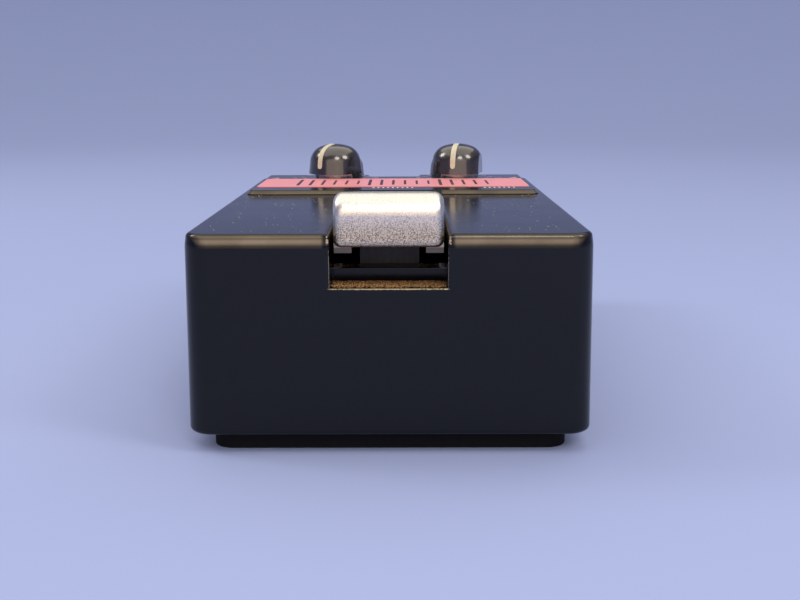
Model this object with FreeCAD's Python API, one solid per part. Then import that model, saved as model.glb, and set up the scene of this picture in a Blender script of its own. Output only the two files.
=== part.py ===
"""Compact delay pedal: die-cast case, sprung foot treadle, four rotary controls, millimetres.

Frame: X to the right, Y away from the player, Z up. The origin is at the bottom centre of the
whole pedal's box, so the rubber mat stands on Z = 0. Places along the case are given as a
depth behind the front face and turned into Y by y_at().
"""
import FreeCAD, Part
import math
import os

Vector = FreeCAD.Vector

# Driving dimensions of the case
CASE_HALF_WIDTH = 36.4      # at the bottom rim
CASE_DEPTH = 134.0          # at the bottom rim
CASE_HEIGHT = 36.2          # bottom rim to the front deck
DRAFT = math.radians(0.7)   # taper of the cast walls
CORNER_R = 4.6              # vertical corners at the rim
EDGE_DROP = 2.2             # the walls lean in over this height below the top
EDGE_LEAN = 0.3             # by this much
EDGE_SOFT_R = 6.0           # round of the bend where they start to lean
EDGE_R = 0.85               # tight round of the top edge itself
RIM_FILLET = 0.9
WALL = 2.6
MAT_THICK = 3.5
PLATE_THICK = 1.2
DC_PROUD = 2.6              # how far the power socket's nut stands behind the case

RIM_Z = MAT_THICK
DECK_Z = RIM_Z + CASE_HEIGHT
FRONT_Y = -(CASE_DEPTH + DC_PROUD) / 2
ROOF_Z = DECK_Z - WALL      # underside of the front deck

# Raised panel that carries the label strip and the front controls
PANEL_RISE = 1.0
PANEL_HALF_WIDTH = 34.1
PANEL_FRONT = 65.1
PANEL_BACK = 107.0
PANEL_Z = DECK_Z + PANEL_RISE
PANEL_CORNER_R = 2.5
PANEL_BEVEL = 0.85          # flat bevel round the panel's top
REAR_DROP = 1.8             # rear deck below the front deck
REAR_DECK_Z = DECK_Z - REAR_DROP
CHANNEL_HALF_WIDTH = 6.2    # gap in the panel that holds the lamp
CHANNEL_FRONT = 96.2

# Notch and well of the treadle
WELL_HALF_WIDTH = 10.3
WELL_BACK = 64.5
WELL_RIB = 2.0
WELL_DROP = 14.0            # how far the ribs hang below the deck
LEDGE_DROP = 9.48           # first ledge of the notch below the deck
LEDGE_DEPTH = 7.5
SHELF_DROP = 7.05           # second, higher ledge
SHELF_DEPTH = 12.5
SLOT_ROUND = 1.2            # rolled long edges of the slot
SLOT_CREASE = 0.02          # how far their arcs would rise over the deck, so they meet it in a line
NOTCH_ROUND = 0.4           # lip of the notch on the front face
NOTCH_SIDE_ROUND = 0.25     # its upright edges there
SHELF_ROUND = 0.2

# Treadle
TREADLE_HALF_WIDTH = 9.65
NOSE_DEPTH = 0.6
NOSE_FACE_TOP = 3.1         # top of the upright face above the deck
NOSE_FACE_FOOT = -2.45
NOSE_R = 3.8                # quarter round from the upright face to the crest
NOSE_FOOT_R = 1.2
NOSE_WALL = 3.0
TREADLE_BACK = 63.6
TREADLE_BACK_TOP = 0.9
SKIRT_THICK = 3.1
SKIRT_TOE = -3.75           # foot of the skirts' front ends
SKIRT_TOE_DEPTH = 6.9       # how far back they reach
SKIRT_FOOT = -3.0
SKIRT_BACK_FOOT = -9.5
TREADLE_SLAB = 2.5
TREADLE_SIDE_ROUND = 1.7
HOLLOW_FRONT = NOSE_DEPTH + NOSE_WALL
HOLLOW_BACK = 61.0
PIVOT_DEPTH = 60.0
PIVOT_Z = DECK_Z - 6.0
PIVOT_R = 2.0
RUNNING_GAP = 0.05
BLOCK_HALF_WIDTH = 5.5
BLOCK_FRONT = 13.5
BLOCK_LENGTH = 7.0
BLOCK_Z = DECK_Z - 12.8

# Foot switch and its board
BOARD_THICK = 1.6
SWITCH_BOARD_Z = 9.1
SWITCH_DEPTH = BLOCK_FRONT + BLOCK_LENGTH / 2
SWITCH_SIZE = 12.0
SWITCH_TOP = 21.5
SWITCH_GAP = 0.3
SWITCH_STROKE = 3.3
SWITCH_PIN_R = 3.0
SPRING_DEPTH = 33.0
SPRING_TOP = 37.6
SPRING_R = 4.2
SPRING_WIRE_R = 0.5
SPRING_TURNS = 9

# Controls
KNOB_R = 7.0                # at its foot
KNOB_SIDE = 3.2             # height of its leaning side
KNOB_LEAN = math.radians(6.2)
KNOB_SHOULDER_R = 4.6       # round shoulder between the side and the flatter crown
CROWN_FROM = math.radians(72)   # where the shoulder's arc hands over to the crown
KNOB_FLAT = 6.1             # half the distance across its two flats
KNOB_FLOAT = 1.1            # gap between the knob and the panel
LEFT_X = -15.45
RIGHT_X = 16.75
FRONT_ROW = 99.9
REAR_ROW = 117.0
SHAFT_R = 3.0
POT_R = 8.0
POT_HEIGHT = 8.0
POT_ROOF = REAR_DECK_Z - WALL   # face that every control is bolted up against
BUSH_R = 3.5
BUSH_RISE = 3.0
LUG_PITCH = 4.0
LUG_DROP = 2.4
POINTER_WIDTH = 1.3
POINTER_PROUD = 0.12
# name, X, depth, panel height, pointer angle about Z counted from pointing away from the player
CONTROLS = (
    ("time", LEFT_X, FRONT_ROW, PANEL_Z, 147.3),
    ("repeat", RIGHT_X, FRONT_ROW, PANEL_Z, 166.4),
    ("level", LEFT_X, REAR_ROW, REAR_DECK_Z, 35.0),
    ("mix", RIGHT_X, REAR_ROW, REAR_DECK_Z, -20.0),
)

# Lamp in the panel's channel
LAMP_DEPTH = 102.2
LAMP_R = 2.5
LAMP_SLEEVE_R = 3.3

# Sockets
JACK_DEPTH = 84.0
JACK_Z = 19.6
JACK_BORE_R = 3.2
JACK_BARREL_R = 4.5
JACK_FACE = 36.0            # flat face machined round each side hole
JACK_BODY = 20.0
DC_Z = 22.0
DC_BORE_R = 1.8
DC_BARREL_R = 3.0

# Inner boards and battery
MAIN_BOARD_Z = 8.0
BATTERY = (17.5, 48.5, 26.5)
BATTERY_X = -15.9           # right face of the battery
BATTERY_FRONT = 13.6
STUD_OFFSET = 6.35          # each stud from the middle of the battery's end
FOAM_THICK = 2.6
CASE_SCREWS = ((-26.6, 7.5), (26.6, 7.5), (-26.6, 127.0), (26.6, 127.0))
CASE_POST_R = 3.2
BOARD_SCREWS = ((-30.0, 73.0), (30.0, 73.0), (-27.0, 109.0), (27.0, 109.0))
SWITCH_SCREWS = ((17.0, 14.0), (17.0, 40.0))

# Printed strip across the panel
LABEL_HALF_WIDTH = 32.7
LABEL_FRONT = 73.0
LABEL_BACK = 93.8
LABEL_THICK = 0.12


def y_at(depth):
    """Y of a plane that lies this far behind the case's front rim."""
    return FRONT_Y + depth


def box(x0, x1, d0, d1, z0, z1):
    """Box between two X values, two depths and two heights."""
    return Part.makeBox(x1 - x0, d1 - d0, z1 - z0, Vector(x0, y_at(d0), z0))


def cylinder(x, depth, z0, z1, radius):
    """Upright cylinder."""
    return Part.makeCylinder(radius, z1 - z0, Vector(x, y_at(depth), z0))


def cylinder_x(x0, x1, depth, z, radius):
    """Cylinder along X."""
    return Part.makeCylinder(radius, x1 - x0, Vector(x0, y_at(depth), z), Vector(1, 0, 0))


def cylinder_y(d0, d1, x, z, radius):
    """Cylinder along Y."""
    return Part.makeCylinder(radius, d1 - d0, Vector(x, y_at(d0), z), Vector(0, 1, 0))


def rounded_wire(x0, x1, d0, d1, z, radius):
    """Closed rectangle with four round corners in a level plane."""
    y0, y1 = y_at(d0), y_at(d1)
    centres = ((x1 - radius, y0 + radius, -90), (x1 - radius, y1 - radius, 0),
               (x0 + radius, y1 - radius, 90), (x0 + radius, y0 + radius, 180))
    ends, arcs = [], []
    for cx, cy, start in centres:
        points = []
        for turn in (0, 45, 90):
            a = math.radians(start + turn)
            points.append(Vector(cx + radius * math.cos(a), cy + radius * math.sin(a), z))
        arcs.append(Part.Arc(*points).toShape())
        ends.append((points[0], points[2]))
    edges = []
    for i, arc in enumerate(arcs):
        edges.append(arc)
        edges.append(Part.makeLine(ends[i][1], ends[(i + 1) % 4][0]))
    return Part.Wire(edges)


def rounded_prism(x0, x1, d0, d1, z0, z1, radius):
    """Upright prism on a rounded rectangle."""
    face = Part.Face(rounded_wire(x0, x1, d0, d1, z0, radius))
    return face.extrude(Vector(0, 0, z1 - z0))


def edges_at(shape, z):
    """Edges that lie wholly in the level plane at z."""
    return [e for e in shape.Edges if abs(e.BoundBox.ZMin - z) < 1e-3 and abs(e.BoundBox.ZMax - z) < 1e-3]


def hexagon(across, height, centre, axis):
    """Hexagonal prism, measured across its flats, along an axis."""
    points = []
    for i in range(7):
        a = math.radians(60 * i + 30)
        points.append(Vector(math.cos(a), math.sin(a), 0) * (across / 2 / math.cos(math.radians(30))))
    prism = Part.Face(Part.makePolygon(points)).extrude(Vector(0, 0, height))
    prism.Placement = FreeCAD.Placement(centre, FreeCAD.Rotation(Vector(0, 0, 1), axis))
    return prism


def profile_along_x(points, x0, x1):
    """Solid between two X values from a closed outline of (depth, z) points."""
    corners = [Vector(x0, y_at(d), z) for d, z in points]
    face = Part.Face(Part.makePolygon(corners + corners[:1]))
    return face.extrude(Vector(x1 - x0, 0, 0))


def case_block(top_z):
    """Drafted case body from the rim to a level top; its edges lean in softly, then turn over."""
    bend_z = top_z - EDGE_DROP
    wires = []
    for z, lean in ((RIM_Z, 0), (bend_z, 0), (top_z, EDGE_LEAN)):
        inset = (z - RIM_Z) * math.tan(DRAFT) + lean
        wires.append(rounded_wire(-CASE_HALF_WIDTH + inset, CASE_HALF_WIDTH - inset, inset,
                                  CASE_DEPTH - inset, z, CORNER_R - inset))
    block = Part.makeLoft(wires, True, True)
    block = block.makeFillet(EDGE_SOFT_R, edges_at(block, bend_z))
    return block.makeFillet(EDGE_R, edges_at(block, top_z))


def case_outside():
    """Outer form: low rear deck, higher front deck and the raised panel with its channel."""
    rear = case_block(REAR_DECK_Z)
    front = case_block(DECK_Z)
    front = front.cut(box(-50, 50, PANEL_BACK, CASE_DEPTH + 5, RIM_Z - 1, DECK_Z + 1))
    panel = rounded_prism(-PANEL_HALF_WIDTH, PANEL_HALF_WIDTH, PANEL_FRONT, PANEL_BACK + 10,
                          REAR_DECK_Z - 0.5, PANEL_Z, PANEL_CORNER_R)
    panel = panel.cut(box(-50, 50, PANEL_BACK, CASE_DEPTH, RIM_Z, PANEL_Z + 1))
    channel = rounded_prism(-CHANNEL_HALF_WIDTH, CHANNEL_HALF_WIDTH, CHANNEL_FRONT, PANEL_BACK + 10,
                            REAR_DECK_Z, PANEL_Z + 1, 1.5)
    panel = panel.cut(channel)
    panel = panel.makeChamfer(PANEL_BEVEL, edges_at(panel, PANEL_Z))
    return front.cut(channel).fuse(panel).fuse(rear).removeSplitter()


def case_cavity():
    """Everything that is hollow inside the cast walls."""
    side = CASE_HALF_WIDTH - WALL
    low = rounded_prism(-side, side, WALL, CASE_DEPTH - WALL, RIM_Z - 1, REAR_DECK_Z - WALL, 2.2)
    high = rounded_prism(-side, side, WALL, PANEL_BACK - WALL, RIM_Z - 1, ROOF_Z, 2.2)
    under_panel = box(-PANEL_HALF_WIDTH + WALL, PANEL_HALF_WIDTH - WALL, PANEL_FRONT + WALL,
                      PANEL_BACK - WALL, RIM_Z, PANEL_Z - WALL)
    side_wall = 1.6
    keep = box(-CHANNEL_HALF_WIDTH - side_wall, CHANNEL_HALF_WIDTH + side_wall, CHANNEL_FRONT - WALL,
               PANEL_BACK, REAR_DECK_Z - WALL, PANEL_Z)
    rebate_side = CASE_HALF_WIDTH - 1.4
    rebate = rounded_prism(-rebate_side, rebate_side, 1.4, CASE_DEPTH - 1.4, RIM_Z - 1,
                           RIM_Z + PLATE_THICK, 3.2)
    return high.fuse(under_panel).cut(keep).fuse(low).fuse(rebate)


def treadle_well():
    """Ribs and ledge that line the treadle's slot, before the slot is cut."""
    half = WELL_HALF_WIDTH + WELL_RIB
    block = box(-half, half, 1.2, WELL_BACK + WELL_RIB, DECK_Z - WELL_DROP, ROOF_Z + 0.5)
    core = box(-WELL_HALF_WIDTH, WELL_HALF_WIDTH, WALL, SHELF_DEPTH - WELL_RIB,
               DECK_Z - WELL_DROP - 1, DECK_Z - LEDGE_DROP - WALL)
    return block.cut(core)


def treadle_cut():
    """Notch in the front wall, its two ledges and the slot behind them."""
    half = WELL_HALF_WIDTH
    notch = box(-half, half, -5, LEDGE_DEPTH, DECK_Z - LEDGE_DROP, PANEL_Z + 2)
    shelf = box(-half, half, LEDGE_DEPTH - 0.1, SHELF_DEPTH, DECK_Z - SHELF_DROP, PANEL_Z + 2)
    slot = box(-half, half, SHELF_DEPTH - 0.1, WELL_BACK, DECK_Z - WELL_DROP - 1, PANEL_Z + 2)
    reach = half + SLOT_ROUND
    axis_z = DECK_Z - SLOT_ROUND + SLOT_CREASE
    funnel = box(-reach, reach, -5, WELL_BACK, axis_z, PANEL_Z + 2)
    for x in (-reach, reach):
        funnel = funnel.cut(cylinder_y(-6, WELL_BACK + 1, x, axis_z, SLOT_ROUND))
    return notch.fuse([shelf, slot, funnel]).removeSplitter()


def level_edges(shell, z, depth, slack):
    """Straight edges along X across the notch, at a height and near a depth."""
    picked = []
    for edge in edges_at(shell, z):
        bb = edge.BoundBox
        across = abs(bb.XLength - 2 * WELL_HALF_WIDTH) < 0.02
        if across and abs(bb.YMin - y_at(depth)) < slack and bb.YLength < 0.02:
            picked.append(edge)
    return picked


def notch_side_edges(shell):
    """The notch's two upright edges on the front face, without their curved upper ends."""
    picked = []
    for edge in shell.Edges:
        bb = edge.BoundBox
        on_side = abs(abs(bb.XMin) - WELL_HALF_WIDTH) < 0.01 and bb.XLength < 0.01
        if on_side and bb.YMax < y_at(0.5) and bb.ZLength > LEDGE_DROP / 2:
            picked.append(edge)
    return picked


def top_shell():
    """Cast case: hollow, with the treadle's well, screw posts and every panel hole."""
    shell = case_outside().cut(case_cavity())
    shell = shell.fuse(treadle_well())
    plate_top = RIM_Z + PLATE_THICK
    board_top = MAIN_BOARD_Z + BOARD_THICK
    for x, depth in CASE_SCREWS:
        roof = ROOF_Z if depth < PANEL_BACK else REAR_DECK_Z - WALL
        shell = shell.fuse(cylinder(x, depth, plate_top, roof + 0.5, CASE_POST_R))
    for x, depth in BOARD_SCREWS:
        roof = ROOF_Z if depth < PANEL_BACK else REAR_DECK_Z - WALL
        shell = shell.fuse(cylinder(x, depth, board_top, roof + 0.5, 2.6))
    for x, depth in SWITCH_SCREWS:
        shell = shell.fuse(cylinder(x, depth, SWITCH_BOARD_Z + BOARD_THICK, ROOF_Z + 0.5, 2.6))
    for _, x, depth, panel_z, _ in CONTROLS:
        if panel_z > REAR_DECK_Z:
            boss = cylinder(x, depth, POT_ROOF, panel_z - WALL / 2, POT_R + 0.3)
            shell = shell.fuse(boss.common(box(-50, 50, 0, PANEL_BACK - 1, POT_ROOF - 1, PANEL_Z)))
    cuts = [treadle_cut()]
    for x, depth in CASE_SCREWS:
        cuts.append(cylinder(x, depth, plate_top - 1, plate_top + 12, 1.5))
    for x, depth in BOARD_SCREWS:
        cuts.append(cylinder(x, depth, board_top - 1, board_top + 8, 1.05))
    for x, depth in SWITCH_SCREWS:
        cuts.append(cylinder(x, depth, SWITCH_BOARD_Z, SWITCH_BOARD_Z + BOARD_THICK + 8, 1.05))
    for _, x, depth, panel_z, _ in CONTROLS:
        cuts.append(cylinder(x, depth, POT_ROOF - 1, panel_z + 2, BUSH_R + RUNNING_GAP))
    cuts.append(cylinder(0, LAMP_DEPTH, REAR_DECK_Z - 6, REAR_DECK_Z + 1, LAMP_SLEEVE_R + RUNNING_GAP))
    for side in (-1, 1):
        hole = cylinder_x(30, 42, JACK_DEPTH, JACK_Z, JACK_BARREL_R + RUNNING_GAP)
        face = cylinder_x(JACK_FACE, 42, JACK_DEPTH, JACK_Z, 7.6)
        cuts.append(turned(hole.fuse(face), side))
    dc_face = CASE_DEPTH - 0.4
    cuts.append(cylinder_y(CASE_DEPTH - 6, CASE_DEPTH + 2, 0, DC_Z, DC_BARREL_R + RUNNING_GAP))
    cuts.append(cylinder_y(dc_face, CASE_DEPTH + 2, 0, DC_Z, 5.2))
    cuts.append(cylinder_x(-20, 20, PIVOT_DEPTH, PIVOT_Z, PIVOT_R + 0.02))
    for cut in cuts:
        shell = shell.cut(cut)
    shell = shell.makeFillet(NOTCH_ROUND, level_edges(shell, DECK_Z - LEDGE_DROP, 0, 0.5))
    shell = shell.makeFillet(SHELF_ROUND, level_edges(shell, DECK_Z - SHELF_DROP, LEDGE_DEPTH, 0.2))
    shell = shell.makeFillet(NOTCH_SIDE_ROUND, notch_side_edges(shell))
    return shell.makeFillet(RIM_FILLET, rim_edges(shell))


def rim_edges(shell):
    """Outer edges of the case's bottom rim."""
    picked = []
    for edge in edges_at(shell, RIM_Z):
        bb = edge.BoundBox
        reach = max(abs(bb.XMin), abs(bb.XMax))
        long_way = max(bb.YMax - y_at(CASE_DEPTH / 2), y_at(CASE_DEPTH / 2) - bb.YMin)
        if reach > CASE_HALF_WIDTH - 0.1 or long_way > CASE_DEPTH / 2 - 0.1:
            picked.append(edge)
    return picked


def turned(shape, side):
    """The shape as it is on the right side, turned half a turn about Z for the left one."""
    if side > 0:
        return shape
    copy = shape.copy()
    copy.rotate(Vector(0, y_at(JACK_DEPTH), 0), Vector(0, 0, 1), 180)
    return copy


def base_plate():
    """Pressed steel cover that closes the case from below."""
    side = CASE_HALF_WIDTH - 1.6
    plate = rounded_prism(-side, side, 1.6, CASE_DEPTH - 1.6, RIM_Z, RIM_Z + PLATE_THICK, 3.0)
    for x, depth in CASE_SCREWS:
        plate = plate.cut(cylinder(x, depth, RIM_Z - 1, RIM_Z + 3, 1.6))
    return plate


def rubber_mat():
    """Thick rubber mat under the base plate, with a clear hole for each screw head."""
    mat = rounded_prism(-32.4, 32.4, 3.5, CASE_DEPTH - 2.5, 0, MAT_THICK, 4.0)
    for x, depth in CASE_SCREWS:
        mat = mat.cut(cylinder(x, depth, -1, MAT_THICK + 1, 3.2))
    groove_pitch = 9.0
    for i in range(-3, 4):
        mat = mat.cut(box(i * groove_pitch - 0.5, i * groove_pitch + 0.5, 16, CASE_DEPTH - 16, -1, 0.6))
    return mat


def pan_screw(x, depth, head_z, shank_top, head_r, shank_r, head_h):
    """Pan head screw driven upwards, with a cross recess in its head."""
    head = cylinder(x, depth, head_z - head_h, head_z, head_r)
    head = head.makeFillet(head_h * 0.45, edges_at(head, head_z - head_h))
    screw = head.fuse(cylinder(x, depth, head_z, shank_top, shank_r))
    arm, width = head_r * 0.55, head_r * 0.18
    floor = head_z - head_h * 0.45
    for wx, wd in ((arm, width), (width, arm)):
        screw = screw.cut(box(x - wx, x + wx, depth - wd, depth + wd, head_z - head_h - 1, floor))
    return screw


def base_screws():
    """Four screws that hold the base plate to the case's posts."""
    return [pan_screw(x, d, RIM_Z, RIM_Z + PLATE_THICK + 9, 2.8, 1.45, 1.9) for x, d in CASE_SCREWS]


def treadle_roof(depth):
    """Height of the hollow treadle's inner face at a depth."""
    front = DECK_Z + NOSE_FACE_TOP + NOSE_R - TREADLE_SLAB - 0.5
    back = DECK_Z + TREADLE_BACK_TOP - TREADLE_SLAB
    return front + (back - front) * (depth - HOLLOW_FRONT) / (HOLLOW_BACK - HOLLOW_FRONT)


def treadle():
    """Cast treadle: an inverted channel with a closed nose, pivoted at its back end."""
    z = DECK_Z
    half = TREADLE_HALF_WIDTH
    axis_depth = NOSE_DEPTH + NOSE_R
    run, fall = TREADLE_BACK - axis_depth, NOSE_FACE_TOP - TREADLE_BACK_TOP
    last = math.acos(NOSE_R / math.hypot(run, fall)) - math.atan2(fall, run)

    def on_nose(angle):
        depth = axis_depth + NOSE_R * math.cos(angle)
        return Vector(-half, y_at(depth), z + NOSE_FACE_TOP + NOSE_R * math.sin(angle))

    outline = ((TREADLE_BACK, TREADLE_BACK_TOP), (TREADLE_BACK, SKIRT_BACK_FOOT), (50.0, SKIRT_BACK_FOOT),
               (24.0, SKIRT_FOOT), (SKIRT_TOE_DEPTH, SKIRT_FOOT), (SKIRT_TOE_DEPTH, SKIRT_TOE),
               (HOLLOW_FRONT, SKIRT_TOE), (HOLLOW_FRONT, NOSE_FACE_FOOT), (NOSE_DEPTH, NOSE_FACE_FOOT),
               (NOSE_DEPTH, NOSE_FACE_TOP))
    line = [Vector(-half, y_at(depth), z + rise) for depth, rise in outline]
    edges = [Part.Arc(on_nose(math.pi), on_nose((math.pi + last) / 2), on_nose(last)).toShape()]
    edges.append(Part.makeLine(on_nose(last), line[0]))
    edges += [Part.makeLine(a, b) for a, b in zip(line[:-1], line[1:])]
    body = Part.Face(Part.Wire(edges)).extrude(Vector(2 * half, 0, 0))
    body = body.makeFillet(TREADLE_SIDE_ROUND, treadle_round_edges(body))
    body = body.makeFillet(NOSE_FOOT_R, nose_foot_edges(body))
    below = z - 12
    hollow = ((HOLLOW_FRONT, treadle_roof(HOLLOW_FRONT)), (HOLLOW_BACK, treadle_roof(HOLLOW_BACK)),
              (HOLLOW_BACK, below), (HOLLOW_FRONT, below))
    body = body.cut(profile_along_x(hollow, SKIRT_THICK - half, half - SKIRT_THICK))
    seat = cylinder(0, SPRING_DEPTH, SPRING_TOP + 0.1, treadle_roof(SPRING_DEPTH) + 1.2, 5.6)
    peg = cylinder(0, SPRING_DEPTH, SPRING_TOP - 3.0, SPRING_TOP + 1, 3.2)
    body = body.fuse([seat, peg])
    body = body.cut(cylinder_x(-20, 20, PIVOT_DEPTH, PIVOT_Z, PIVOT_R + RUNNING_GAP))
    return body.removeSplitter()


def treadle_round_edges(body):
    """Edges of the treadle's top: both long sides, the shoulder and the nose's sides."""
    picked = []
    for edge in body.Edges:
        bb = edge.BoundBox
        on_side = abs(bb.XMax - bb.XMin) < 1e-3
        above_foot = bb.ZMin > DECK_Z + NOSE_FACE_FOOT - 0.01
        if on_side and above_foot and bb.ZMax > DECK_Z + TREADLE_BACK_TOP + 0.01:
            picked.append(edge)
    return picked


def nose_foot_edges(body):
    """Edges round the foot of the nose: its two short sides and the long front one."""
    back = y_at(NOSE_DEPTH + NOSE_WALL)
    picked = []
    for edge in edges_at(body, DECK_Z + NOSE_FACE_FOOT):
        bb = edge.BoundBox
        if bb.YMax < back + 1e-3 and bb.YMin < back - 0.01:
            picked.append(edge)
    return picked


def treadle_plunger():
    """Moulded block under the nose that presses the foot switch."""
    back = BLOCK_FRONT + BLOCK_LENGTH
    outline = ((BLOCK_FRONT, BLOCK_Z), (back, BLOCK_Z), (back, treadle_roof(back) - 0.05),
               (BLOCK_FRONT, treadle_roof(BLOCK_FRONT) - 0.05))
    block = profile_along_x(outline, -BLOCK_HALF_WIDTH, BLOCK_HALF_WIDTH)
    return block.makeFillet(0.7, edges_at(block, BLOCK_Z))


def hinge_pin():
    """Steel pin through the case's ribs and the treadle, with a groove near each end."""
    half = WELL_HALF_WIDTH + WELL_RIB + 2.1
    pin = cylinder_x(-half, half, PIVOT_DEPTH, PIVOT_Z, PIVOT_R)
    for side in (-1, 1):
        x = side * (half - 1.0)
        ring = cylinder_x(x - 0.35, x + 0.35, PIVOT_DEPTH, PIVOT_Z, PIVOT_R + 1)
        ring = ring.cut(cylinder_x(x - 1, x + 1, PIVOT_DEPTH, PIVOT_Z, PIVOT_R - 0.5))
        pin = pin.cut(ring)
    return pin


def hinge_clips():
    """Two spring clips in the pin's grooves."""
    clips = []
    for side in (-1, 1):
        x = side * (WELL_HALF_WIDTH + WELL_RIB + 1.1)
        ring = cylinder_x(x - 0.3, x + 0.3, PIVOT_DEPTH, PIVOT_Z, 3.2)
        ring = ring.cut(cylinder_x(x - 1, x + 1, PIVOT_DEPTH, PIVOT_Z, PIVOT_R - 0.45))
        mouth = box(x - 1, x + 1, PIVOT_DEPTH - 1.1, PIVOT_DEPTH + 1.1, PIVOT_Z - 5, PIVOT_Z)
        clips.append(ring.cut(mouth))
    return clips


def biarc(p0, t0, p1, t1):
    """Two tangent arcs from p0 along t0 to p1 along t1, both ends' tangents of unit length."""
    v = p1 - p0
    t = t0 + t1
    spread = 2 * (1 - t0.dot(t1))
    d = (-v.dot(t) + math.sqrt(v.dot(t) ** 2 + spread * v.dot(v))) / spread
    joint = (p0 + t0 * d + p1 - t1 * d) * 0.5
    return [arc_from(p0, t0, joint), arc_from(p1, t1 * -1, joint)]


def arc_from(start, tangent, end):
    """Arc that leaves start along a tangent and passes through end."""
    chord = end - start
    along = tangent * chord.dot(tangent)
    side = chord - along
    radius = chord.dot(chord) / (2 * side.Length)
    normal = side * (1 / side.Length)
    half_turn = math.atan2(side.Length, chord.dot(tangent))
    forward, inward = radius * math.sin(half_turn), radius * (1 - math.cos(half_turn))
    return Part.Arc(start, start + tangent * forward + normal * inward, end).toShape()


def return_spring():
    """Open coil of round wire between the switch board and the treadle's spring seat."""
    foot = SWITCH_BOARD_Z + BOARD_THICK + SPRING_WIRE_R + 0.05
    head = SPRING_TOP - SPRING_WIRE_R - 0.05
    pitch = (head - foot) / SPRING_TURNS
    climb = pitch / (2 * math.pi * SPRING_R)

    def at(turn):
        a = 2 * math.pi * turn
        centre = Vector(0, y_at(SPRING_DEPTH), foot + pitch * turn)
        return centre + Vector(math.cos(a), math.sin(a), 0) * SPRING_R

    def along(turn):
        a = 2 * math.pi * turn
        return Vector(-math.sin(a), math.cos(a), climb).normalize()

    edges = []
    steps = SPRING_TURNS * 4
    for i in range(steps):
        a, b = i / 4, (i + 1) / 4
        edges += biarc(at(a), along(a), at(b), along(b))
    path = Part.Wire(Part.__sortEdges__(edges))
    ring = Part.Wire(Part.makeCircle(SPRING_WIRE_R, at(0), along(0)))
    print("spring gap between turns", round(pitch - 2 * SPRING_WIRE_R, 2))
    return path.makePipeShell([ring], True, False)


def foot_switch_body():
    """Square housing of the momentary switch."""
    h = SWITCH_SIZE / 2
    foot = SWITCH_BOARD_Z + BOARD_THICK
    body = box(-h, h, SWITCH_DEPTH - h, SWITCH_DEPTH + h, foot, SWITCH_TOP - 1.5)
    body = body.makeChamfer(0.5, edges_at(body, SWITCH_TOP - 1.5))
    body = body.fuse(cylinder(0, SWITCH_DEPTH, SWITCH_TOP - 2, SWITCH_TOP, 4.4))
    floor = BLOCK_Z - SWITCH_GAP - 9.6 - SWITCH_STROKE - 0.3
    return body.cut(cylinder(0, SWITCH_DEPTH, floor, SWITCH_TOP + 1, SWITCH_PIN_R + RUNNING_GAP))


def foot_switch_pin():
    """Sliding pin of the switch, with a domed head."""
    top = BLOCK_Z - SWITCH_GAP
    pin = cylinder(0, SWITCH_DEPTH, top - 9.6, top, SWITCH_PIN_R)
    return pin.makeFillet(0.8, edges_at(pin, top))


def switch_board():
    """Small board under the treadle that carries the switch and the spring."""
    board = box(-9.0, 24.0, 9.6, 44.5, SWITCH_BOARD_Z, SWITCH_BOARD_Z + BOARD_THICK)
    for x, depth in SWITCH_SCREWS:
        board = board.cut(cylinder(x, depth, SWITCH_BOARD_Z - 1, SWITCH_BOARD_Z + 3, 1.2))
    return board


def board_screws():
    """Small screws that hold both boards to the case's posts."""
    places = [(x, d, SWITCH_BOARD_Z) for x, d in SWITCH_SCREWS]
    places += [(x, d, MAIN_BOARD_Z) for x, d in BOARD_SCREWS]
    return [pan_screw(x, d, z, z + BOARD_THICK + 6.5, 2.1, 1.0, 1.4) for x, d, z in places]


def main_board():
    """Main circuit board behind the treadle."""
    board = box(-31.5, 31.5, 68.2, 121.2, MAIN_BOARD_Z, MAIN_BOARD_Z + BOARD_THICK)
    for x, depth in BOARD_SCREWS:
        board = board.cut(cylinder(x, depth, MAIN_BOARD_Z - 1, MAIN_BOARD_Z + 3, 1.2))
    return board


def ic_chips():
    """Dual in-line chips: two long delay lines, a compander and three amplifiers."""
    top = MAIN_BOARD_Z + BOARD_THICK + 0.4
    chips = []
    for x, depth, half_length in ((-5.5, 76.0, 4.8), (5.5, 76.0, 4.8), (0.0, 90.0, 9.6),
                                  (-11.0, 100.0, 9.6), (11.0, 100.0, 9.6), (0.0, 113.0, 4.8)):
        body = box(x - half_length, x + half_length, depth - 3.2, depth + 3.2, top, top + 3.2)
        body = body.makeChamfer(0.4, edges_at(body, top + 3.2))
        legs = []
        for i in range(int(half_length * 2 // 2.54)):
            leg_x = x - half_length + 1.5 + 2.54 * i
            for side in (-1, 1):
                d = depth + side * 3.6
                legs.append(box(leg_x - 0.25, leg_x + 0.25, d - 0.42, d + 0.42, top - 0.4, top + 1.8))
        chips.append(body.fuse(legs))
    return chips


def capacitors():
    """Upright electrolytic cans on the main board."""
    top = MAIN_BOARD_Z + BOARD_THICK
    cans = []
    for away, depth, radius, height in ((25.4, 97.5, 4.0, 11.0), (20.5, 113.0, 3.1, 11.0),
                                        (12.0, 111.4, 2.5, 8.0), (12.0, 117.5, 2.5, 8.0)):
        for x in (-away, away):
            can = cylinder(x, depth, top, top + height, radius)
            cans.append(can.makeFillet(0.6, edges_at(can, top + height)))
    return cans


def trimmers():
    """Three small preset resistors with a slotted rotor."""
    top = MAIN_BOARD_Z + BOARD_THICK
    pieces = []
    for x in (-6.0, 0.0, 6.0):
        body = box(x - 2.4, x + 2.4, 104.1, 108.9, top, top + 3.0)
        body = body.fuse(cylinder(x, 106.5, top + 3.0, top + 4.0, 1.9))
        pieces.append(body.cut(box(x - 1.6, x + 1.6, 106.2, 106.8, top + 3.4, top + 5)))
    return pieces


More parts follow.
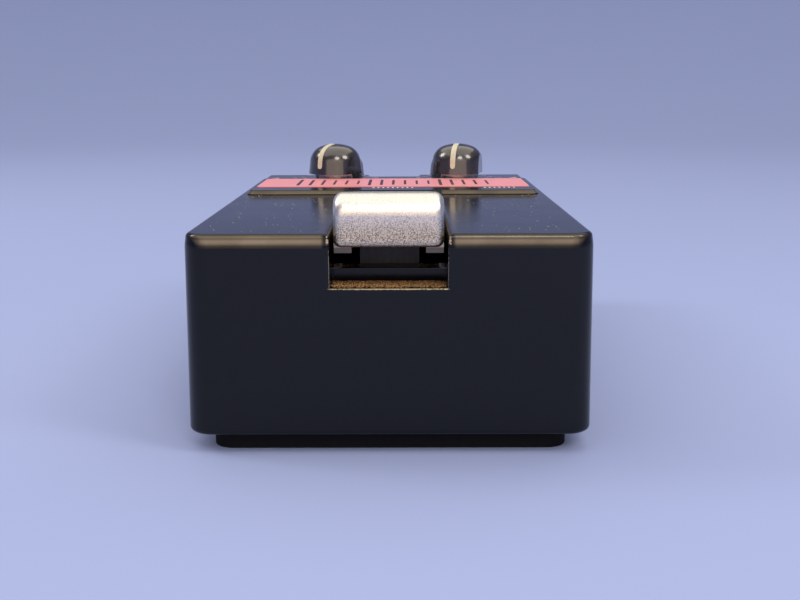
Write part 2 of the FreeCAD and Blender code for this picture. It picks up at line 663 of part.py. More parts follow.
def pot_body(x, depth, panel_z):
    """Rotary control: round can, threaded bush and three solder lugs."""
    can_foot = POT_ROOF - POT_HEIGHT
    bush_top = panel_z + BUSH_RISE
    can = cylinder(x, depth, can_foot, POT_ROOF, POT_R)
    can = can.makeFillet(0.8, edges_at(can, can_foot))
    bush = cylinder(x, depth, POT_ROOF - 1, bush_top, BUSH_R)
    lugs = []
    for i in (-1, 0, 1):
        lug_x = x + i * LUG_PITCH
        lugs.append(box(lug_x - 0.7, lug_x + 0.7, depth - 1, depth, can_foot - LUG_DROP, can_foot + 1))
    pot = can.fuse([bush] + lugs)
    return pot.cut(cylinder(x, depth, can_foot + 1.6, bush_top + 1, SHAFT_R + RUNNING_GAP))


def pot_washers():
    """Plain washers between the panel and the pot nuts."""
    rings = []
    for _, x, depth, panel_z, _ in CONTROLS:
        ring = cylinder(x, depth, panel_z, panel_z + 0.5, 4.4)
        rings.append(ring.cut(cylinder(x, depth, panel_z - 1, panel_z + 2, BUSH_R + RUNNING_GAP)))
    return rings


def pot_nuts():
    """Thin hexagon nuts on the pot bushes, hidden under the knobs."""
    nuts = []
    for _, x, depth, panel_z, _ in CONTROLS:
        nut = hexagon(8.6, 1.8, Vector(x, y_at(depth), panel_z + 0.5), Vector(0, 0, 1))
        nuts.append(nut.cut(cylinder(x, depth, panel_z - 1, panel_z + 5, BUSH_R + 0.02)))
    return nuts


def dome(grow, foot):
    """Knob's outer form about Z: leaning side, round shoulder and flatter crown, all offset by grow."""
    side_r = KNOB_R - KNOB_SIDE * math.tan(KNOB_LEAN)
    shoulder_x = side_r - KNOB_SHOULDER_R * math.cos(KNOB_LEAN)
    shoulder_z = KNOB_SIDE - KNOB_SHOULDER_R * math.sin(KNOB_LEAN)
    apart = shoulder_x / math.cos(CROWN_FROM)
    crown_z = shoulder_z - apart * math.sin(CROWN_FROM)

    def on_shoulder(angle):
        r = KNOB_SHOULDER_R + grow
        return Vector(shoulder_x + r * math.cos(angle), 0, shoulder_z + r * math.sin(angle))

    def on_crown(angle):
        r = KNOB_SHOULDER_R + apart + grow
        return Vector(r * math.cos(angle), 0, crown_z + r * math.sin(angle))

    start, joint, top = on_shoulder(KNOB_LEAN), on_shoulder(CROWN_FROM), on_crown(math.pi / 2)
    low = Vector(start.x + (start.z - foot) * math.tan(KNOB_LEAN), 0, foot)
    middle = Vector(0, 0, foot)
    edges = [
        Part.makeLine(middle, low),
        Part.makeLine(low, start),
        Part.Arc(start, on_shoulder((KNOB_LEAN + CROWN_FROM) / 2), joint).toShape(),
        Part.Arc(joint, on_crown((CROWN_FROM + math.pi / 2) / 2), top).toShape(),
        Part.makeLine(top, middle),
    ]
    return Part.Face(Part.Wire(edges)).revolve(Vector(0, 0, 0), Vector(0, 0, 1), 360)


def placed_knob_part(shape, control):
    """Set a part made about the origin, pointing away from the player, onto its control."""
    _, x, depth, panel_z, angle = control
    shape.rotate(Vector(0, 0, 0), Vector(0, 0, 1), angle)
    shape.translate(Vector(x, y_at(depth), panel_z + KNOB_FLOAT))
    return shape


def pointer_slab(width):
    """Upright slab that the pointer line is cut from, with a round lower end."""
    half = width / 2
    foot = 1.5
    reach = KNOB_R + 3
    slab = Part.makeBox(width, reach - 1.2, 12, Vector(-half, 1.2, foot + half))
    end = Part.makeCylinder(half, reach - 1.2, Vector(0, 1.2, foot + half), Vector(0, 1, 0))
    return slab.fuse(end)


def knob(control):
    """Domed knob with two flats, hollow below, with a groove for its pointer line."""
    body = dome(0.0, 0.0)
    for side in (-1, 1):
        x0 = KNOB_FLAT if side > 0 else -KNOB_FLAT - 5
        body = body.cut(Part.makeBox(5, 30, 20, Vector(x0, -15, -1)))
    body = body.cut(Part.makeCylinder(5.3, 2.4, Vector(0, 0, -0.01)))
    body = body.cut(Part.makeCylinder(SHAFT_R + 0.01, 5.4, Vector(0, 0, 0)))
    groove = pointer_slab(POINTER_WIDTH + 0.02).cut(dome(-0.6, -1.0))
    body = body.cut(groove)
    return placed_knob_part(body, control)


def pointer(control):
    """Pale line let into the knob, a little proud of it."""
    band = dome(POINTER_PROUD, -1.0).cut(dome(-0.59, -2.0))
    return placed_knob_part(band.common(pointer_slab(POINTER_WIDTH)), control)


def shaft(control):
    """Steel shaft that turns in the pot's bush and carries the knob."""
    _, x, depth, panel_z, _ = control
    foot = POT_ROOF - POT_HEIGHT + 2.0
    top = panel_z + KNOB_FLOAT + 5.35
    return cylinder(x, depth, foot, top, SHAFT_R)


def jack(side):
    """Quarter inch socket: threaded barrel through the side wall and a closed body."""
    wall = CASE_HALF_WIDTH - WALL
    inner, mouth = wall - JACK_BODY, JACK_FACE + 3.2
    body = box(inner, wall - 0.02, JACK_DEPTH - 6.6, JACK_DEPTH + 6.6, JACK_Z - 6.9, JACK_Z + 6.9)
    body = body.makeFillet(0.6, [e for e in body.Edges if e.BoundBox.XLength > JACK_BODY - 0.1])
    barrel = cylinder_x(wall - 1, mouth, JACK_DEPTH, JACK_Z, JACK_BARREL_R)
    barrel = barrel.makeChamfer(0.4, [e for e in barrel.Edges if abs(e.BoundBox.XMin - mouth) < 1e-3])
    lugs = []
    for i in (-1, 1):
        d = JACK_DEPTH + i * 3.6
        lugs.append(box(inner - 3, inner + 1, d - 0.3, d + 0.3, JACK_Z + 2, JACK_Z + 4.4))
    socket = body.fuse([barrel] + lugs)
    socket = socket.cut(cylinder_x(inner + 1.5, 60, JACK_DEPTH, JACK_Z, JACK_BORE_R))
    return turned(socket, side)


def jack_washers():
    """Flat washers under the socket nuts."""
    ring = cylinder_x(JACK_FACE, JACK_FACE + 0.5, JACK_DEPTH, JACK_Z, 7.0)
    ring = ring.cut(cylinder_x(30, 60, JACK_DEPTH, JACK_Z, JACK_BARREL_R + RUNNING_GAP))
    return [turned(ring, side) for side in (-1, 1)]


def jack_nuts():
    """Hexagon nuts that hold the two side sockets."""
    nut = hexagon(12.0, 2.0, Vector(JACK_FACE + 0.5, y_at(JACK_DEPTH), JACK_Z), Vector(1, 0, 0))
    rim = Part.makeCone(7.4, 6.1, 1.3, Vector(JACK_FACE + 1.2, y_at(JACK_DEPTH), JACK_Z), Vector(1, 0, 0))
    low = cylinder_x(JACK_FACE, JACK_FACE + 1.2, JACK_DEPTH, JACK_Z, 9)
    nut = nut.common(low.fuse(rim))
    nut = nut.cut(cylinder_x(30, 60, JACK_DEPTH, JACK_Z, JACK_BARREL_R + 0.02))
    return [turned(nut, side) for side in (-1, 1)]


def dc_socket():
    """Small round power socket in the back wall."""
    inner = CASE_DEPTH - WALL
    body = box(-4.6, 4.6, inner - 13.0, inner - 0.02, DC_Z - 4.6, DC_Z + 4.6)
    body = body.fuse(cylinder_y(inner - 1, CASE_DEPTH + DC_PROUD, 0, DC_Z, DC_BARREL_R))
    for x in (-2.4, 2.4):
        body = body.fuse(box(x - 0.6, x + 0.6, inner - 16.0, inner - 12.0, DC_Z - 3.0, DC_Z - 2.6))
    return body.cut(cylinder_y(inner - 12.0, CASE_DEPTH + 10, 0, DC_Z, DC_BORE_R))


def dc_nut():
    """Round knurled nut of the power socket."""
    face = CASE_DEPTH - 0.4
    nut = cylinder_y(face, face + 2.0, 0, DC_Z, 4.4)
    outer = [e for e in nut.Edges if abs(e.BoundBox.YMin - y_at(face + 2.0)) < 1e-3]
    nut = nut.makeChamfer(0.3, outer)
    for i in range(24):
        a = math.radians(15 * i)
        x, z = 4.55 * math.cos(a), DC_Z + 4.55 * math.sin(a)
        nut = nut.cut(cylinder_y(face - 1, face + 3, x, z, 0.3))
    return nut.cut(cylinder_y(face - 1, face + 5, 0, DC_Z, DC_BARREL_R + 0.02))


def lamp_lens():
    """Round red lamp: straight sides and a domed top."""
    top = REAR_DECK_Z + 1.9
    body = cylinder(0, LAMP_DEPTH, REAR_DECK_Z - 5.0, top - LAMP_R * 0.7, LAMP_R)
    cap = Part.makeSphere(LAMP_R, Vector(0, y_at(LAMP_DEPTH), top - LAMP_R))
    body = body.fuse(cap.common(cylinder(0, LAMP_DEPTH, top - LAMP_R, top + 1, LAMP_R)))
    flange = cylinder(0, LAMP_DEPTH, REAR_DECK_Z - 5.0, REAR_DECK_Z - 4.0, 2.9)
    return body.common(cylinder(0, LAMP_DEPTH, 0, top + 1, LAMP_R)).fuse(flange).removeSplitter()


def lamp_bezel():
    """Collar that holds the lamp in the channel's floor."""
    sleeve = cylinder(0, LAMP_DEPTH, REAR_DECK_Z - 3.4, REAR_DECK_Z + 0.1, LAMP_SLEEVE_R)
    rim = cylinder(0, LAMP_DEPTH, REAR_DECK_Z, REAR_DECK_Z + 0.8, 4.1)
    rim = rim.makeFillet(0.4, edges_at(rim, REAR_DECK_Z + 0.8))
    return sleeve.fuse(rim).cut(cylinder(0, LAMP_DEPTH, 0, 60, LAMP_R + 0.04))


def battery():
    """Nine volt block battery lying beside the treadle's well, with its two studs."""
    width, length, height = BATTERY
    x1 = BATTERY_X
    z0 = RIM_Z + PLATE_THICK + FOAM_THICK
    back = BATTERY_FRONT + length
    block = rounded_prism(x1 - width, x1, BATTERY_FRONT, back, z0, z0 + height, 2.0)
    studs = []
    for i in (-1, 1):
        z = z0 + height / 2 + i * STUD_OFFSET
        studs.append(cylinder_y(back - 0.5, back + 2.0, x1 - width / 2, z, 2.6))
    return block.fuse(studs)


def battery_snap():
    """Moulded connector on the battery's studs."""
    width, length, height = BATTERY
    x = BATTERY_X - width / 2
    z = RIM_Z + PLATE_THICK + FOAM_THICK + height / 2
    d0 = BATTERY_FRONT + length + 0.1
    snap = box(x - 5.5, x + 5.5, d0, d0 + 4.0, z - 12, z + 12)
    snap = snap.makeFillet(1.5, [e for e in snap.Edges if e.BoundBox.YLength > 3.9])
    for i in (-1, 1):
        snap = snap.cut(cylinder_y(d0 - 1, d0 + 2.2, x, z + i * STUD_OFFSET, 2.75))
    return snap


def foam_pad():
    """Soft pad between the base plate and the battery."""
    width, length, _ = BATTERY
    z0 = RIM_Z + PLATE_THICK
    return box(BATTERY_X - width + 0.5, BATTERY_X - 0.5, BATTERY_FRONT + 2, BATTERY_FRONT + length - 2,
               z0, z0 + FOAM_THICK - 0.05)


def wire_tube(points, radius, bend):
    """Insulated wire along straight runs joined by tangent arcs."""
    edges = []
    last = points[0]
    for before, corner, after in zip(points[:-2], points[1:-1], points[2:]):
        u = (before - corner).normalize()
        v = (after - corner).normalize()
        half = math.acos(max(-1.0, min(1.0, u.dot(v)))) / 2
        reach = bend / math.tan(half)
        start, end = corner + u * reach, corner + v * reach
        centre_way = (u + v).normalize()
        middle = corner + centre_way * (bend / math.sin(half) - bend)
        edges.append(Part.makeLine(last, start))
        edges.append(Part.Arc(start, middle, end).toShape())
        last = end
    edges.append(Part.makeLine(last, points[-1]))
    way = (points[1] - points[0]).normalize()
    ring = Part.Wire(Part.makeCircle(radius, points[0], way))
    return Part.Wire(edges).makePipeShell([ring], True, False)


def battery_leads():
    """Two leads from the battery connector to the main board."""
    width, length, height = BATTERY
    x = BATTERY_X - width / 2
    z = RIM_Z + PLATE_THICK + FOAM_THICK + height / 2
    d0 = BATTERY_FRONT + length + 4.15
    foot = MAIN_BOARD_Z + BOARD_THICK + 0.05
    leads = []
    for i in (-1, 1):
        start = Vector(x + i * 2, y_at(d0), z - 6)
        out = Vector(x + i * 2, y_at(d0 + 6), z - 6)
        down = Vector(x + i * 2, y_at(d0 + 6), foot)
        leads.append(wire_tube([start, out, down], 0.6, 3.0))
    return leads


def hookup_wires():
    """Short wires from the front controls' lugs down to the main board."""
    foot = MAIN_BOARD_Z + BOARD_THICK + 0.05
    top = POT_ROOF - POT_HEIGHT - LUG_DROP - 0.05
    near, far = y_at(FRONT_ROW - 0.5), y_at(FRONT_ROW + 7.5)
    wires = []
    for pot_x in (LEFT_X, RIGHT_X):
        for i in (-1, 0, 1):
            x = pot_x + i * LUG_PITCH
            start = Vector(x, near, top)
            knee = Vector(x, near, top - 3.0)
            turn = Vector(x, far, top - 7.0)
            end = Vector(x, far, foot)
            wires.append(wire_tube([start, knee, turn, end], 0.5, 2.0))
    return wires


def face_label():
    """Thin printed strip laid across the raised panel, in front of the knobs."""
    return rounded_prism(-LABEL_HALF_WIDTH, LABEL_HALF_WIDTH, LABEL_FRONT, LABEL_BACK,
                         PANEL_Z, PANEL_Z + LABEL_THICK, 1.0)


def export(name, shape):
    """Write one node's solids to its own file and report its volume."""
    if isinstance(shape, list):
        shape = Part.makeCompound([s.Solids[0] for s in shape])
    if len(shape.Solids) == 1:
        shape = shape.Solids[0]
    shape.exportStep("parts/" + name + ".step")
    print(name, "solids", len(shape.Solids) or 1, "valid", shape.isValid(), "mm3", round(shape.Volume, 1))


def build():
    """Make every node of the pedal."""
    os.makedirs("parts", exist_ok=True)
    makers = (top_shell, base_plate, rubber_mat, base_screws, treadle, treadle_plunger, hinge_pin,
              hinge_clips, return_spring, foot_switch_body, foot_switch_pin, switch_board, board_screws,
              main_board, ic_chips, capacitors, trimmers, pot_washers, pot_nuts, jack_washers, jack_nuts,
              dc_socket, dc_nut, lamp_lens, lamp_bezel, battery, battery_snap, foam_pad, battery_leads,
              hookup_wires, face_label)
    for maker in makers:
        export(maker.__name__, maker())
    export("input_jack", jack(1))
    export("output_jack", jack(-1))
    for control in CONTROLS:
        name, x, depth, panel_z, _ = control
        export("pot_" + name, pot_body(x, depth, panel_z))
        export("shaft_" + name, shaft(control))
        export("knob_" + name, knob(control))
        export("pointer_" + name, pointer(control))


build()
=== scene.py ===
"""Looks of a compact delay pedal: finishes, prints, dust and a plain studio, in metres."""
import math

import bpy
import numpy as np
from bpy.props import FloatProperty, FloatVectorProperty, IntProperty, PointerProperty
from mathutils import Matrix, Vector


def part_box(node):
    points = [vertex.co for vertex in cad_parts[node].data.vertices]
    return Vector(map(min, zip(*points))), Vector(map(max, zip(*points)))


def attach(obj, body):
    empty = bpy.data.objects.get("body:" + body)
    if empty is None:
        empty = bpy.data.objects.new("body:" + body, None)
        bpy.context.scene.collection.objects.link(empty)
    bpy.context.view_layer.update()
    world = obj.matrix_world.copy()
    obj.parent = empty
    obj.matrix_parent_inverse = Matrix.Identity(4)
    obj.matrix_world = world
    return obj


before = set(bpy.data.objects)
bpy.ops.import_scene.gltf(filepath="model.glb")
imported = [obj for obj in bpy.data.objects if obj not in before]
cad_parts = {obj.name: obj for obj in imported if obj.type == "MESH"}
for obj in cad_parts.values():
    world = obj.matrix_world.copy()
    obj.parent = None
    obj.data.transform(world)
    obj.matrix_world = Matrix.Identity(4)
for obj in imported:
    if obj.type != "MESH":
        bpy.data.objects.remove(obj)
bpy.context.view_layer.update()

bl_info = {
    "name": "Delay Pedal Looks",
    "version": (1, 0, 0),
    "blender": (4, 5, 0),
    "location": "3D View > Sidebar > Pedal",
    "description": "Finishes, prints, dust and a studio for a compact delay pedal",
    "category": "Object",
}

MM = 0.001

# Places on the case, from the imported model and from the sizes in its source
CASE_LOW, CASE_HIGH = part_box("top_shell")
LABEL_LOW, LABEL_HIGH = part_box("face_label")
FRONT_Y = CASE_LOW.y
PANEL_Z = CASE_HIGH.z
DECK_Z = PANEL_Z - 1.0 * MM       # front deck
REAR_DECK_Z = DECK_Z - 1.8 * MM   # deck behind the panel
LEDGE_Z = DECK_Z - 9.48 * MM      # lower ledge in the notch
SHELF_Z = DECK_Z - 7.05 * MM      # upper ledge, behind the lower one
NOTCH_HALF = 10.3 * MM
CREST_RISE = 6.9 * MM             # treadle's crest above the front deck
FACE = 0.34 * MM                  # how far the front face has leaned back at the notch's ledge
LEDGE_DEPTH = 7.5 * MM            # from the front rim to the back of the lower ledge
PANEL_BACK = 107.0 * MM
KNOBS = ("time", "repeat", "level", "mix")


def linear(hex_colour):
    """Linear RGBA of an sRGB colour written as #rrggbb."""
    parts = [int(hex_colour[i:i + 2], 16) / 255 for i in (1, 3, 5)]
    return tuple(c / 12.92 if c <= 0.04045 else ((c + 0.055) / 1.055) ** 2.4
                 for c in parts) + (1.0,)


def colour(name, description, hex_colour):
    """Colour property that a user may change."""
    return FloatVectorProperty(name=name, description=description, subtype="COLOR", size=3,
                               min=0.0, max=1.0, default=linear(hex_colour)[:3])


def length(name, description, metres):
    """Length property in metres."""
    return FloatProperty(name=name, description=description, unit="LENGTH", min=0.0,
                         precision=6, default=metres)


def share(name, description, value):
    """Share from nothing to all."""
    return FloatProperty(name=name, description=description, subtype="FACTOR", min=0.0, max=1.0,
                         default=value)


def power(name, description, watts):
    """Power of a lamp."""
    return FloatProperty(name=name, description=description, unit="POWER", min=0.0, default=watts)


class CaseLooks(bpy.types.PropertyGroup):
    """Enamel of the case, what has settled or rubbed on it, and the reflection band painted along
    its top edges.
    """
    enamel: colour("Enamel", "Colour of the stoved enamel", "#07080d")
    bare: colour("Bare casting", "Casting where the enamel has rubbed off", "#b0a388")
    # Painted reflection: this beige colour stands in for a warm light reflected in the top edges'
    # roundings
    painted_reflection: colour("Edge haze", "Beige rub and dust along the handled top edges", "#bba886")
    roughness: share("Roughness", "Roughness of the clean enamel", 0.14)
    peel: length("Orange peel", "Width of the enamel's faint waves", 1.6 * MM)
    wear: share("Wear", "How much of the slot's rims is rubbed through", 0.5)
    # How strongly the painted reflection is laid on the top edges
    edge: share("Edge wear", "How strongly the top edges are hazed", 0.9)
    specks: IntProperty(name="Specks", description="Dust specks on the decks", min=0, default=220)


class TreadleLooks(bpy.types.PropertyGroup):
    """Silver treadle and the moulded block under it."""
    silver: colour("Silver", "Colour of the silver finish", "#f7e3c4")
    # Crest colour: partly shoe wear, partly a painted highlight whitening the silver towards the
    # crest
    crest_wear_and_highlight: colour("Rubbed silver", "Colour where shoes rub the crest", "#fdf8ee")
    pit: colour("Pits", "Colour of the small dark pits", "#4f4846")
    grain: length("Grain", "Width of the casting's grain", 0.19 * MM)
    relief: length("Relief", "Height of the grain", 0.03 * MM)
    # Painted shade: how dark the skirts' feet are made under the nose
    painted_shade: share("Grime", "How dark the skirts' feet are under the nose", 0.9)


class ControlLooks(bpy.types.PropertyGroup):
    """Knobs, their lines and the lamp."""
    knob: colour("Knob", "Colour of the gloss moulding", "#0a090a")
    line: colour("Line", "Colour of the filled pointer line", "#dcd9c4")
    lens: colour("Lens", "Colour of the lamp's lens", "#c2160f")


class PrintLooks(bpy.types.PropertyGroup):
    """Printed strip and the plain marks on the panel."""
    strip: colour("Strip", "Colour of the printed strip", "#f29ba4")
    dark_ink: colour("Dark ink", "Ink of the fading bars", "#4a2438")
    pale_ink: colour("Pale ink", "Ink of the panel's scale marks", "#f0c6bf")
    white_ink: colour("White ink", "Ink of the small dashes", "#f5efe6")
    ink: length("Ink thickness", "How far the ink stands up", 0.02 * MM)
    tick: length("Tick length", "Length of a scale mark", 1.1 * MM)
    bars: IntProperty(name="Bars", description="Bars of the fading row", min=1, default=17)


class LedgeLooks(bpy.types.PropertyGroup):
    """Rust dust that has gathered in the notch."""
    pale: colour("Pale rust", "Pale rust dust", "#cfa368")
    dark: colour("Dark rust", "Dark rust crumbs", "#42200e")
    depth: length("Film", "Thickness of the dust film", 0.05 * MM)
    crumbs: IntProperty(name="Crumbs", description="Loose crumbs on the ledges", min=0,
                        default=3000)


class StageLooks(bpy.types.PropertyGroup):
    """Floor, lamps and the camera's place."""
    floor: colour("Floor", "Colour of the floor and backdrop", "#a4b2df")
    ceiling: power("Ceiling light", "Power of the wide overhead light", 20.0)
    spot: power("Round lights", "Power of each round light", 1.7)
    low: power("Low light", "Power of the warm light low in front", 3.0)
    ahead: length("Camera distance", "From the lens to the case's front", 178.6 * MM)
    above: length("Camera height", "From the front deck up to the lens", 25.8 * MM)
    aside: length("Camera offset", "From the middle plane to the lens", 2.84 * MM)
    lens: FloatProperty(name="Focal length", description="For a sensor 36 mm wide", default=47.25)


def at_depth(depth):
    """Y of a plane this far behind the case's front rim."""
    return FRONT_Y + depth


def node(tree, kind, inputs=None, **settings):
    """Add a node with its settings, then fill or link its inputs, which are named or numbered."""
    made = tree.nodes.new("ShaderNode" + kind)
    for key, value in settings.items():
        setattr(made, key, value)
    for key, value in (inputs or {}).items():
        if isinstance(value, bpy.types.Node):
            value = value.outputs[0]
        if isinstance(value, bpy.types.NodeSocket):
            tree.links.new(value, made.inputs[key])
        else:
            made.inputs[key].default_value = value
    return made


def finish(name, **inputs):
    """New material with one Principled shader, whose inputs are filled here. Gives the material,
    its tree, its shader and each point's place in its own object, in metres."""
    material = bpy.data.materials.new(name)
    material.use_nodes = True
    tree = material.node_tree
    tree.nodes.clear()
    filled = {key.replace("_", " "): value for key, value in inputs.items()}
    shader = node(tree, "BsdfPrincipled", filled)
    node(tree, "OutputMaterial", {"Surface": shader})
    return material, tree, shader, node(tree, "TexCoord").outputs["Object"]


def rgba(value):
    """Colour property as four numbers."""
    return tuple(value) + (1.0,)


def dress(material, *names):
    """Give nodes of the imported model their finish."""
    for name in names:
        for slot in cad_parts[name].material_slots:
            slot.material = material


def blob(tree, place, centre, reach):
    """Mask that is 1 at a centre and falls to 0 on an ellipsoid with the given reaches."""
    near = node(tree, "Mapping", {"Vector": place, "Location": centre, "Scale": reach},
                vector_type="TEXTURE")
    return node(tree, "TexGradient", {"Vector": near}, gradient_type="SPHERICAL").outputs["Fac"]


def most(tree, masks):
    """Highest of several masks."""
    top = masks[0]
    for mask in masks[1:]:
        top = node(tree, "Math", {0: top, 1: mask}, operation="MAXIMUM")
    return top


# Painted reflection along the top edges: millimetres above the front deck, share of the painted
# reflection colour
PAINTED_EDGE_REFLECTION = ((-2.6, 0.0), (-2.0, 0.15), (-1.4, 0.6), (-1.1, 0.62), (-0.75, 0.26), (-0.48, 0.5),
             (-0.3, 0.28), (-0.12, 0.0), (0.1, 0.0), (0.16, 0.3), (0.8, 0.22), (0.98, 0.0))
CORNER_DROP = 3 * MM              # centre of the corners kept clear of the painted reflection, under the front deck
CORNER_REACH = (8 * MM, 8 * MM, 6 * MM)   # how far from there the painted reflection is held off
SMEAR_WIDTH = 14 * MM             # smears that make the painted reflection uneven
FLECK_WIDTH = 0.4 * MM            # flecks at the slot's rims
FLECK_START, FLECK_FULL = 1.65, 1.80   # rim mask and noise together, where bare casting shows
WAVE_HEIGHT = 0.003 * MM          # orange peel
CHIP_DEPTH = 0.02 * MM            # thickness of the enamel that has chipped off


def painted_edge_reflection(tree, place, away, smear, looks):
    """Painted reflection by height over the deck: a beige colour laid on the top edges' roundings
    and the panel's front bevel, where a warm light would reflect. Behind the panel the deck is
    lower, so the height is raised there by the step. It keeps off the notch and the corners, and
    smears make it uneven."""
    axes = node(tree, "SeparateXYZ", {"Vector": place}).outputs
    behind = node(tree, "Math", {0: axes["Y"], 1: at_depth(PANEL_BACK)}, operation="GREATER_THAN")
    height = node(tree, "Math", {0: behind, 1: DECK_Z - REAR_DECK_Z, 2: axes["Z"]},
                  operation="MULTIPLY_ADD")
    low, high = (DECK_Z + PAINTED_EDGE_REFLECTION[i][0] * MM for i in (0, -1))
    level = node(tree, "MapRange", {"Value": height, "From Min": low, "From Max": high})
    band = node(tree, "ValToRGB", {"Fac": level})
    stops = band.color_ramp.elements
    for rise, amount in PAINTED_EDGE_REFLECTION[1:-1]:
        stops.new((DECK_Z + rise * MM - low) / (high - low)).color = (amount, amount, amount, 1.0)
    stops[0].color = stops[-1].color = (0.0, 0.0, 0.0, 1.0)
    beside = node(tree, "MapRange", {"Value": away, "From Min": NOTCH_HALF + 0.9 * MM,
                                     "From Max": NOTCH_HALF + 1.5 * MM})
    folded = node(tree, "VectorMath", {0: place}, operation="ABSOLUTE")
    corner = blob(tree, folded, (CASE_HIGH.x, CASE_HIGH.y, DECK_Z - CORNER_DROP), CORNER_REACH)
    clear = node(tree, "MapRange", {"Value": corner, "From Min": 0.3, "From Max": 0.55,
                                    "To Min": looks.edge, "To Max": 0.0})
    reflection_reach = node(tree, "Math", {0: most(tree, [beside, behind]), 1: clear}, operation="MULTIPLY")
    banded = node(tree, "Math", {0: band, 1: reflection_reach}, operation="MULTIPLY")
    uneven = node(tree, "MapRange", {"Value": smear, "From Min": 0.3, "From Max": 0.6,
                                     "To Min": 0.6})
    return node(tree, "Math", {0: banded, 1: uneven}, operation="MULTIPLY")


def bare_rims(tree, place, away, looks):
    """Mask of bare casting: the lip of the notch, and flecks along the slot's rolled rims, at
    their front ends and up the notch's sharp corners."""
    within = node(tree, "Math", {0: away, 1: NOTCH_HALF + 0.4 * MM}, operation="LESS_THAN")
    lip = blob(tree, place, (0.0, at_depth(FACE + 0.12 * MM), LEDGE_Z - 0.12 * MM),
               (60 * MM, 0.5 * MM, 0.5 * MM))
    rims = [node(tree, "Math", {0: lip, 1: within}, operation="MULTIPLY")]
    for side in (-1, 1):
        rolled_x = side * (NOTCH_HALF + 0.35 * MM)
        sharp_x = side * (NOTCH_HALF + 0.07 * MM)
        for centre, reach in (
                ((rolled_x, at_depth(6 * MM), DECK_Z - 0.45 * MM), (0.55 * MM, 40 * MM, 0.6 * MM)),
                ((rolled_x, at_depth(FACE + 0.2 * MM), DECK_Z - 1.2 * MM),
                 (0.8 * MM, 1.0 * MM, 2.0 * MM)),
                ((sharp_x, at_depth(FACE + 0.07 * MM), LEDGE_Z + 3 * MM),
                 (0.26 * MM, 0.26 * MM, 14 * MM))):
            rims.append(blob(tree, place, centre, reach))
    fleck = node(tree, "TexNoise", {"Vector": place, "Scale": 1 / FLECK_WIDTH, "Detail": 5.0,
                                    "Roughness": 0.7})
    flecked = node(tree, "Math", {0: most(tree, rims), 1: fleck}, operation="ADD")
    return node(tree, "MapRange", {"Value": flecked, "From Min": FLECK_START - looks.wear,
                                   "From Max": FLECK_FULL - looks.wear})


def stoved_enamel(looks):
    """Gloss black enamel, sprayed on the die-cast case and stoved: a deep, faintly rippled shine.
    A beige reflection is painted along the top edges up to the corners; the lip of the notch is
    polished through and the slot's rims have lost small flecks."""
    material, tree, shader, place = finish("gloss_black_stoved_enamel", IOR=1.38)
    sideways = node(tree, "SeparateXYZ", {"Vector": place}).outputs["X"]
    away = node(tree, "Math", {0: sideways}, operation="ABSOLUTE")
    smear = node(tree, "TexNoise", {"Vector": place, "Scale": 1 / SMEAR_WIDTH, "Detail": 5.0,
                                    "Distortion": 1.2})
    reflection_share = painted_edge_reflection(tree, place, away, smear, looks)
    bare = bare_rims(tree, place, away, looks)
    # The enamel takes the beige painted reflection along the top edges
    paint = node(tree, "Mix", {"Factor": reflection_share, "A": rgba(looks.enamel), "B": rgba(looks.painted_reflection)},
                 data_type="RGBA")
    skin = node(tree, "Mix", {"Factor": bare, "A": paint.outputs["Result"],
                              "B": rgba(looks.bare)}, data_type="RGBA")
    shine = node(tree, "MapRange", {"Value": reflection_share, "To Min": 0.5, "To Max": 0.8})
    clean = node(tree, "MapRange", {"Value": smear, "From Min": 0.35, "From Max": 0.75,
                                    "To Min": looks.roughness, "To Max": looks.roughness + 0.04})
    rough = node(tree, "Mix", {"Factor": bare, "A": clean, "B": 0.4}, data_type="FLOAT")
    ripple = node(tree, "TexNoise", {"Vector": place, "Scale": 1 / looks.peel, "Detail": 1.0})
    waves = node(tree, "Bump", {"Height": ripple, "Distance": WAVE_HEIGHT, "Strength": 1.0})
    chips = node(tree, "Bump", {"Height": bare, "Distance": CHIP_DEPTH, "Strength": 1.0,
                                "Normal": waves}, invert=True)
    tree.links.new(skin.outputs["Result"], shader.inputs["Base Color"])
    tree.links.new(shine.outputs[0], shader.inputs["Specular IOR Level"])
    tree.links.new(rough.outputs["Result"], shader.inputs["Roughness"])
    tree.links.new(bare.outputs[0], shader.inputs["Metallic"])
    tree.links.new(chips.outputs[0], shader.inputs["Normal"])
    return material


